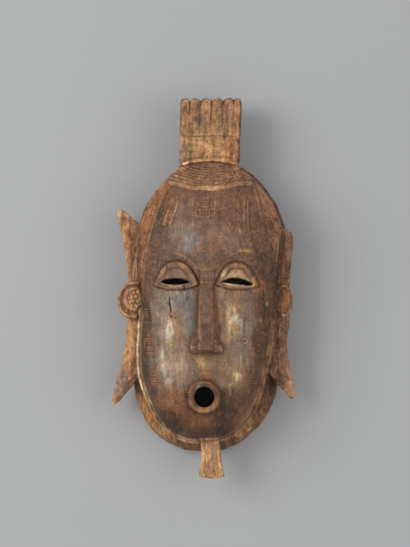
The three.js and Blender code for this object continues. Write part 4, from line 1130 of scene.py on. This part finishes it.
# Crest scuffs; the cream at the left end of the foot roll is a painted highlight
scuffs_and_highlights(crest_zone, [
    (HONEY, 0.8, -17, 142, 4, 9, 0.5), (HONEY, 0.8, 3, 146, 7, 6, 0.5), (HONEY, 0.7, 1, 137, 4, 5, 0.5),
    (HONEY, 0.7, 9, 131, 6, 4, 0.5), (SAND, 0.9, 11, 155, 2, 4, 0.3), (HONEY, 0.8, 2, 153.5, 5, 1.4, 0.3),
    (HONEY, 0.7, -19, 129, 4, 4, 0.5), (CREAM, 0.8, -25, 123, 4.4, 1.4, 0.2, 0.5, 0.35),
    (HONEY, 0.6, 22, 130, 4, 5, 0.5), (SAND, 0.8, 10.6, 162, 1.1, 10), (SAND, 0.8, -20, 156, 1.3, 5),
    (SAND, 0.8, -9.4, 157, 1.3, 6),
])

# The bead: tan, with a pale outer edge, worn and partly a painted highlight where it faces the light, that
# turns along the left of the chin
flecked = 0.5 * fleck + 0.6 * blotch
layers(bead_band * left, [(1, FAWN, 0.9), (ease(0, 20, Y), RUSSET, 0.4)])
paint(bead_band * right * ease(-30, -60, Y), TAN, 0.7)
pale_edge = ease(2.0, 1.0, np.abs(off_bead + 1.5)) * ease(-12, -18, Y)
layers(left * ease(-112, -98, Y), [
    (ease(3.4, 2.4, np.abs(off_bead - 0.6)) * ease(-10, -20, Y), KHAKI, 0.8), (pale_edge, BONE, 1),
    (pale_edge * speckle(-0.7), CREAM, 0.9),
])
chin_edge = bump(IN_HEAD - 0.4, 2.6) * ease(-96, -102, Y) * ease(0, -14, X)
paint(chin_edge * speckle(-0.3, flecked), BONE, 0.9)
right_edge = bump(IN_HEAD + 0.4, 2.2) * right * ease(-28, -40, Y) * ease(-128, -112, Y)
paint(right_edge * speckle(-0.4, flecked), SAND, 0.8)
paint(bead_band * left * ease(-8, 4, Y) * speckle(0.2, 0.5 * fleck + 0.6 * streak), SAND, 0.5)


# Carved lines: pale where the hand rubs them, as on the hairlines, the signs and the short cuts
def lines(rows):
    """Soft bands of colour: colour, amount, width, how ragged, and the path."""
    for colour, amount, width, ragged, *path in rows:
        paint(along(path, width, ragged), colour, amount)


lines([
    (FAWN, 0.5, 0.8, 0.5, *LEFT_HAIRLINE), (FAWN, 0.4, 0.8, 0.5, *RIGHT_HAIRLINE),
    (SAND, 0.65, 0.8, 0.4, *BAR_EDGE),
])
layers(hatched_bar * on_face, [
    (1, RUST, 0.45), (speckle(0.0, 0.6 * fleck + 0.6 * streak), FAWN, 0.5),
])
lines([(TAN, 0.5, 0.7, 0.5, (x, 84), (x + 0.3, 68), (x + 0.9, 53)) for x in (29.6, 35.4, 38.6)])
layers(on_face, [(sign_ground, RUST, 0.4), (np.clip(sign_lift, 0, 1), TAN, 0.8), (cut_marks, TAN, 0.7)])
lines([(FAWN, 0.55, 2.0, 0.8, (24, 29.4), (29, 31.6), (33.6, 33), (42, 32.4))])
scuffs_and_highlights(on_face, [
    (HONEY, 0.6, 36, 33.4, 6, 1.8, 0.5), (HONEY, 0.5, 44, 2, 3, 7, 0.6), (HONEY, 0.5, 30, -5.6, 11, 1.4, 0.6),
])
paint(on_face * patch(-1.6, 16, 7, 3, 0.4), OCHRE, 0.7)
lines([
    (TAN, 0.6, 0.9, 0.5, (-32, 30.8), *LEFT_BROW[2:-1]),
    (TAN, 0.7, 0.7, 0.3, (-7.6, 2.9), (-1, 2.6), (6, 2.9)), (UMBER, 0.6, 0.7, 0.3, (-8, 13), (-8.4, 4)),
    (UMBER, 0.6, 0.7, 0.3, (6.4, 13), (6.9, 4)),
    (SAND, 0.6, 0.8, 0.5, (-33.4, -36), (-28.6, -46), (-25.8, -58)),
])
for name, radius, width, colour, amount in (
    ("right", 2.2, 1.1, ROSE_TAN, 0.9), ("left", 2.4, 1.1, RUST, 0.6), ("diamond", 2.9, 1.0, SAND, 0.9),
):
    x, y = RINGS[name]
    paint(bump(np.hypot(X - x, Y - y) - radius, width), colour, amount)
paint(patch(*RINGS["diamond"], 1.6, 1.6, 0.1, 0.3), RUSSET, 0.9)

# Everywhere: tan rubbed on what stands proud, grime in fine grooves and painted shade in wider hollows, and
# uneven patina
worn = np.clip(1.1 * proud_wear * (0.7 + 0.4 * fleck), 0, 1)
carved = np.clip(hair_zone + crest_zone + wing_zone + beard_zone + ear_zone, 0, 1)
lighter = 1 + 0.24 * carved * (1 - 0.5 * crest_zone)
rubbed = 1 + 0.42 * worn * carved + 0.28 * worn * (1 - carved) * (1 - 0.6 * nose_zone)
tone *= (lighter * rubbed)[..., None]
grime_and_shade = np.clip(0.75 * fine_grime + 0.55 * wide_shade, 0, 1)
# Painted grime in fine grooves and painted shade in wider hollows, darkened together
paint(grime_and_shade * (1 - 0.3 * beard_zone), DARK, 0.6)
uneven = 1 + 0.07 * blotch + 0.08 * fleck + 0.07 * streak + 0.04 * blotch_wide
tone *= np.clip(uneven, 0.5, 1.6)[..., None]
polish = np.clip(on_face * (1 - hair_zone) * (1 - 0.8 * worn) * (1 - grime_and_shade), 0, 1)

# Where light flecks of bare wood show through the patina
gold = 0.55 * on_face + 0.7 * carved + 0.5 * collar_zone * (1 - carved)
for amount, *place in (
    (0.6, -2, 139, 24, 18), (0.3, 5, 172, 12, 16), (0.6, 24, -36, 12, 18), (0.5, 26, -88, 10, 10),
    (0.4, 51, -4, 8, 10), (0.3, -40, -50, 9, 22), (0.4, 46, 46, 12, 20), (0.3, -38, 70, 8, 18),
    (0.2, 36, 66, 10, 18), (0.3, 28, 14, 16, 10), (0.35, -50, 24, 10, 34), (0.4, 56, 14, 12, 40),
    (-0.2, -8, -128, 50, 26), (0.3, 58, -44, 8, 30), (-0.4, -24, -24, 12, 24), (-0.35, -18, 44, 16, 14),
    (-0.3, 0, -74, 9, 12),
):
    gold = gold + amount * patch(*place)
gold = np.clip(gold, 0, 1).astype(np.float32)


def sampled(field_map, place):
    """Reads a map of the grid at places in millimetres."""
    u = np.clip((place[:, 0] - LOW[0]) / STEP, 0, COUNT[0] - 1.001)
    v = np.clip((place[:, 1] - LOW[1]) / STEP, 0, COUNT[1] - 1.001)
    i, j = u.astype(int), v.astype(int)
    fu, fv = u - i, v - j
    if field_map.ndim == 3:
        fu, fv = fu[:, None], fv[:, None]
    low = field_map[i, j] * (1 - fu) + field_map[i + 1, j] * fu
    high = field_map[i, j + 1] * (1 - fu) + field_map[i + 1, j + 1] * fu
    return low * (1 - fv) + high * fv


# Colour and wear at each vertex
total = len(mesh.vertices)
place, normal = np.empty((2, total * 3), np.float32)
mesh.vertices.foreach_get("co", place)
mesh.vertices.foreach_get("normal", normal)
place, normal = place.reshape(-1, 3) * 1000 - SHIFT, normal.reshape(-1, 3)
under = ease(3.5, 8, sampled(front, place) - place[:, 2]) * ease(0.35, -0.1, normal[:, 2])
in_hollow = under * ease(1.05, 0.98, sampled(HOLLOW_RADIUS, place))
colour = sampled(tone, place)
hollow_colour = linear(HOLLOW_BROWN) * (1 + 0.12 * sampled(blotch, place)[:, None])
colour += (hollow_colour - colour) * in_hollow[:, None]
# Down the outer walls the patina is blotched, and warmer at the left of the chin
around = np.stack([place[:, 0] + place[:, 1], 2.2 * place[:, 2] - 90], 1)
wall_noise = 0.7 * sampled(blotch_wide, around) + 0.5 * sampled(blotch, around) + 0.4 * sampled(fleck, around)
amber_share = 0.55 * ease(-84, -112, place[:, 1]) * (0.45 + 0.55 * ease(20, -20, place[:, 0]))
wall_colour = mix(linear(WALL_BROWN), linear(AMBER), amber_share[:, None])
wall_colour = wall_colour * np.clip(1 + 0.22 * wall_noise, 0.5, 1.6)[:, None]
colour += (wall_colour - colour) * (0.85 * under * (1 - in_hollow))[:, None]


def keep(name, values):
    values = np.asarray(values, np.float32)
    if values.ndim == 1:
        mesh.attributes.new(name, "FLOAT", "POINT").data.foreach_set("value", values)
    else:
        rgba = np.concatenate([values, np.ones((total, 1), np.float32)], 1)
        mesh.attributes.new(name, "FLOAT_COLOR", "POINT").data.foreach_set("color", rgba.ravel())


front_share = 1 - under
keep("tone", np.clip(colour, 0, 1))
keep("gold", sampled(gold, place) * front_share + 0.2 * under)
keep("polish", sampled(polish.astype(np.float32), place) * front_share)
along_grain = (wing_zone + crest_zone + 0.5 * beard_zone).clip(0, 1).astype(np.float32)
keep("open_grain", sampled(along_grain, place) * front_share + 0.6 * in_hollow)


# The wood: vertex colours broken up by grain, pores, flecks and fine noise
class Nodes:
    def __init__(self, name):
        self.material = bpy.data.materials.new(name)
        self.material.use_nodes = True
        self.tree = self.material.node_tree
        self.shader = self.tree.nodes["Principled BSDF"]

    def add(self, kind, values=(), **settings):
        node = self.tree.nodes.new("ShaderNode" + kind)
        for key, value in settings.items():
            setattr(node, key, value)
        for key, value in dict(values).items():
            self.put(node.inputs[key], value)
        return node

    def put(self, socket, value):
        if isinstance(value, bpy.types.NodeSocket):
            self.tree.links.new(value, socket)
        else:
            socket.default_value = value

    def multiply(self, a, b):
        return self.add("Math", {0: a, 1: b}, operation="MULTIPLY").outputs[0]

    def scaled(self, value, factor, start=0.0):
        return self.add("Math", {0: value, 1: factor, 2: start}, operation="MULTIPLY_ADD").outputs[0]

    def read(self, name, output="Fac"):
        return self.add("Attribute", attribute_name=name).outputs[output]

    def noise(self, scale, detail, rough, place):
        inputs = {"Scale": scale, "Detail": detail, "Roughness": rough, "Vector": place}
        return self.add("TexNoise", inputs).outputs["Fac"]

    def step(self, value, low, high, to_low=0.0, to_high=1.0):
        inputs = {"Value": value, "From Min": low, "From Max": high, "To Min": to_low, "To Max": to_high}
        return self.add("MapRange", inputs, interpolation_type="SMOOTHSTEP").outputs["Result"]

    def grey(self, value, a, b, low, high):
        """A grey between low and high."""
        lift = self.step(value, a, b, low, high)
        return self.add("CombineColor", {0: lift, 1: lift, 2: lift}).outputs[0]

    def blend(self, share, a, b, mode="MULTIPLY"):
        b = b if isinstance(b, bpy.types.NodeSocket) else (*b, 1)
        return self.add("Mix", {0: share, 6: a, 7: b}, data_type="RGBA", blend_type=mode).outputs[2]

    def finish(self, colour, specular):
        self.put(self.shader.inputs["Base Color"], colour)
        self.shader.inputs["Specular IOR Level"].default_value = specular


wood = Nodes("carved_wood")
place = wood.add("TexCoord").outputs["Object"]


def stretched(along_y):
    return wood.add("Mapping", {"Vector": place, "Scale": (1, along_y, 1)}).outputs["Vector"]


fibres = wood.noise(900, 5, 0.6, stretched(0.09))
pores = wood.noise(1500, 3, 0.5, stretched(0.14))
mottle = wood.noise(160, 6, 0.62, place)
flecks = wood.noise(700, 3, 0.6, stretched(0.6))
fine = wood.noise(1900, 3, 0.6, place)
hue = wood.noise(260, 3, 0.5, place)
gold_at, polish_at, open_grain = wood.read("gold"), wood.read("polish"), wood.read("open_grain")
colour = wood.read("tone", "Color")
colour = wood.blend(1.0, colour, wood.grey(mottle, 0.3, 0.7, 0.78, 1.22))
colour = wood.blend(wood.step(hue, 0.35, 0.65, 0.0, 0.22), colour, (1.18, 0.92, 0.74))
colour = wood.blend(wood.scaled(open_grain, 0.3, 0.4), colour, wood.grey(fibres, 0.3, 0.7, 0.70, 1.32))
light_flecks = wood.multiply(wood.step(flecks, 0.53, 0.67), wood.scaled(gold_at, 0.85, 0.05))
colour = wood.blend(wood.scaled(light_flecks, 0.8), colour, (1.5, 1.55, 1.5))
colour = wood.blend(wood.scaled(light_flecks, 0.35), colour, linear(HONEY), "MIX")
dark_flecks = wood.multiply(wood.step(flecks, 0.46, 0.34), wood.scaled(gold_at, 0.35, 0.35))
colour = wood.blend(dark_flecks, colour, (0.52, 0.47, 0.42))
pore_share = wood.multiply(wood.step(pores, 0.40, 0.30), wood.scaled(open_grain, 0.3, 0.2))
colour = wood.blend(pore_share, colour, linear(SOOT), "MIX")
wood.finish(wood.blend(0.7, colour, wood.grey(fine, 0.3, 0.7, 0.66, 1.34)), 0.3)
gloss = {0: wood.step(polish_at, 0, 1, 0.75, 0.5), 1: wood.step(mottle, 0.3, 0.7, -0.07, 0.1)}
gloss = wood.add("Math", gloss, operation="ADD", use_clamp=True).outputs[0]
wood.put(wood.shader.inputs["Roughness"], gloss)
height = wood.scaled(fibres, 0.6, wood.scaled(fine, 0.25, wood.scaled(flecks, 0.5)))
bump_node = wood.add("Bump", {"Strength": 0.55, "Distance": 0.0006, "Height": height})
wood.put(wood.shader.inputs["Normal"], bump_node.outputs["Normal"])
mesh.materials.append(wood.material)
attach(carving, "root")
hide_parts("mask")

# A pale plain floor
FLOOR = {"grey": 0.555, "half": 4.0, "level": -0.0003}
floor_mesh = bpy.data.meshes.new("floor")
corners = np.array([(-1, -1), (1, -1), (1, 1), (-1, 1)]) * FLOOR["half"]
floor_mesh.from_pydata([(x, y, FLOOR["level"]) for x, y in corners], [], [(0, 1, 2, 3)])
floor = bpy.data.objects.new("floor", floor_mesh)
bpy.context.scene.collection.objects.link(floor)
paper = Nodes("floor_paper")
paper_noise = paper.noise(2.0, 3, 0.5, paper.add("TexCoord").outputs["Object"])
paper.finish(paper.grey(paper_noise, 0.3, 0.7, FLOOR["grey"] * 0.985, FLOOR["grey"] * 1.015), 0.1)
paper.shader.inputs["Roughness"].default_value = 0.9
floor_mesh.materials.append(paper.material)

# The camera looks down, a little from the foot and from the right of the mask
AIM = np.array([-5.4, 14.5, 40.0])
CAMERA_GAP = 1.8
SENSOR_WIDTH = 36
LENS = 118.46
YAW, PITCH = math.radians(3), math.radians(4)
backward = Vector((math.sin(YAW) * math.cos(PITCH), -math.sin(PITCH), math.cos(YAW) * math.cos(PITCH)))
rightward = Vector((0, 1, 0)).cross(backward).normalized()
upward = backward.cross(rightward)
camera = bpy.data.objects.new("camera", bpy.data.cameras.new("camera"))
camera.data.sensor_width = SENSOR_WIDTH
camera.data.lens = LENS
target = Vector((AIM + SHIFT) / 1000)
turn = Matrix((rightward, upward, backward)).transposed().to_4x4()
camera.matrix_world = Matrix.Translation(target + backward * CAMERA_GAP) @ turn
bpy.context.scene.collection.objects.link(camera)
bpy.context.scene.camera = camera

# Soft lights: direction, power
LIGHT_GAP = 2.2
LIGHT_SIZE = 1.3
LIGHTS = {"key_light": ((-0.95, 0.28, 1.0), 20), "fill_light": ((0.9, -0.1, 0.9), 8.4)}
SKY = {"Color": (0.95, 0.98, 1.0, 1), "Strength": 0.42}
for name, (direction, power) in LIGHTS.items():
    light = bpy.data.lights.new(name, "AREA")
    light.shape = "RECTANGLE"
    light.size = light.size_y = LIGHT_SIZE
    light.energy = power
    lamp = bpy.data.objects.new(name, light)
    toward = Vector(direction).normalized()
    lamp.location = target + toward * LIGHT_GAP
    lamp.rotation_euler = toward.to_track_quat("Z", "Y").to_euler()
    bpy.context.scene.collection.objects.link(lamp)

world = bpy.data.worlds.new("studio")
world.use_nodes = True
for name, value in SKY.items():
    world.node_tree.nodes["Background"].inputs[name].default_value = value
bpy.context.scene.world = world
bpy.context.scene.view_settings.view_transform = "Standard"
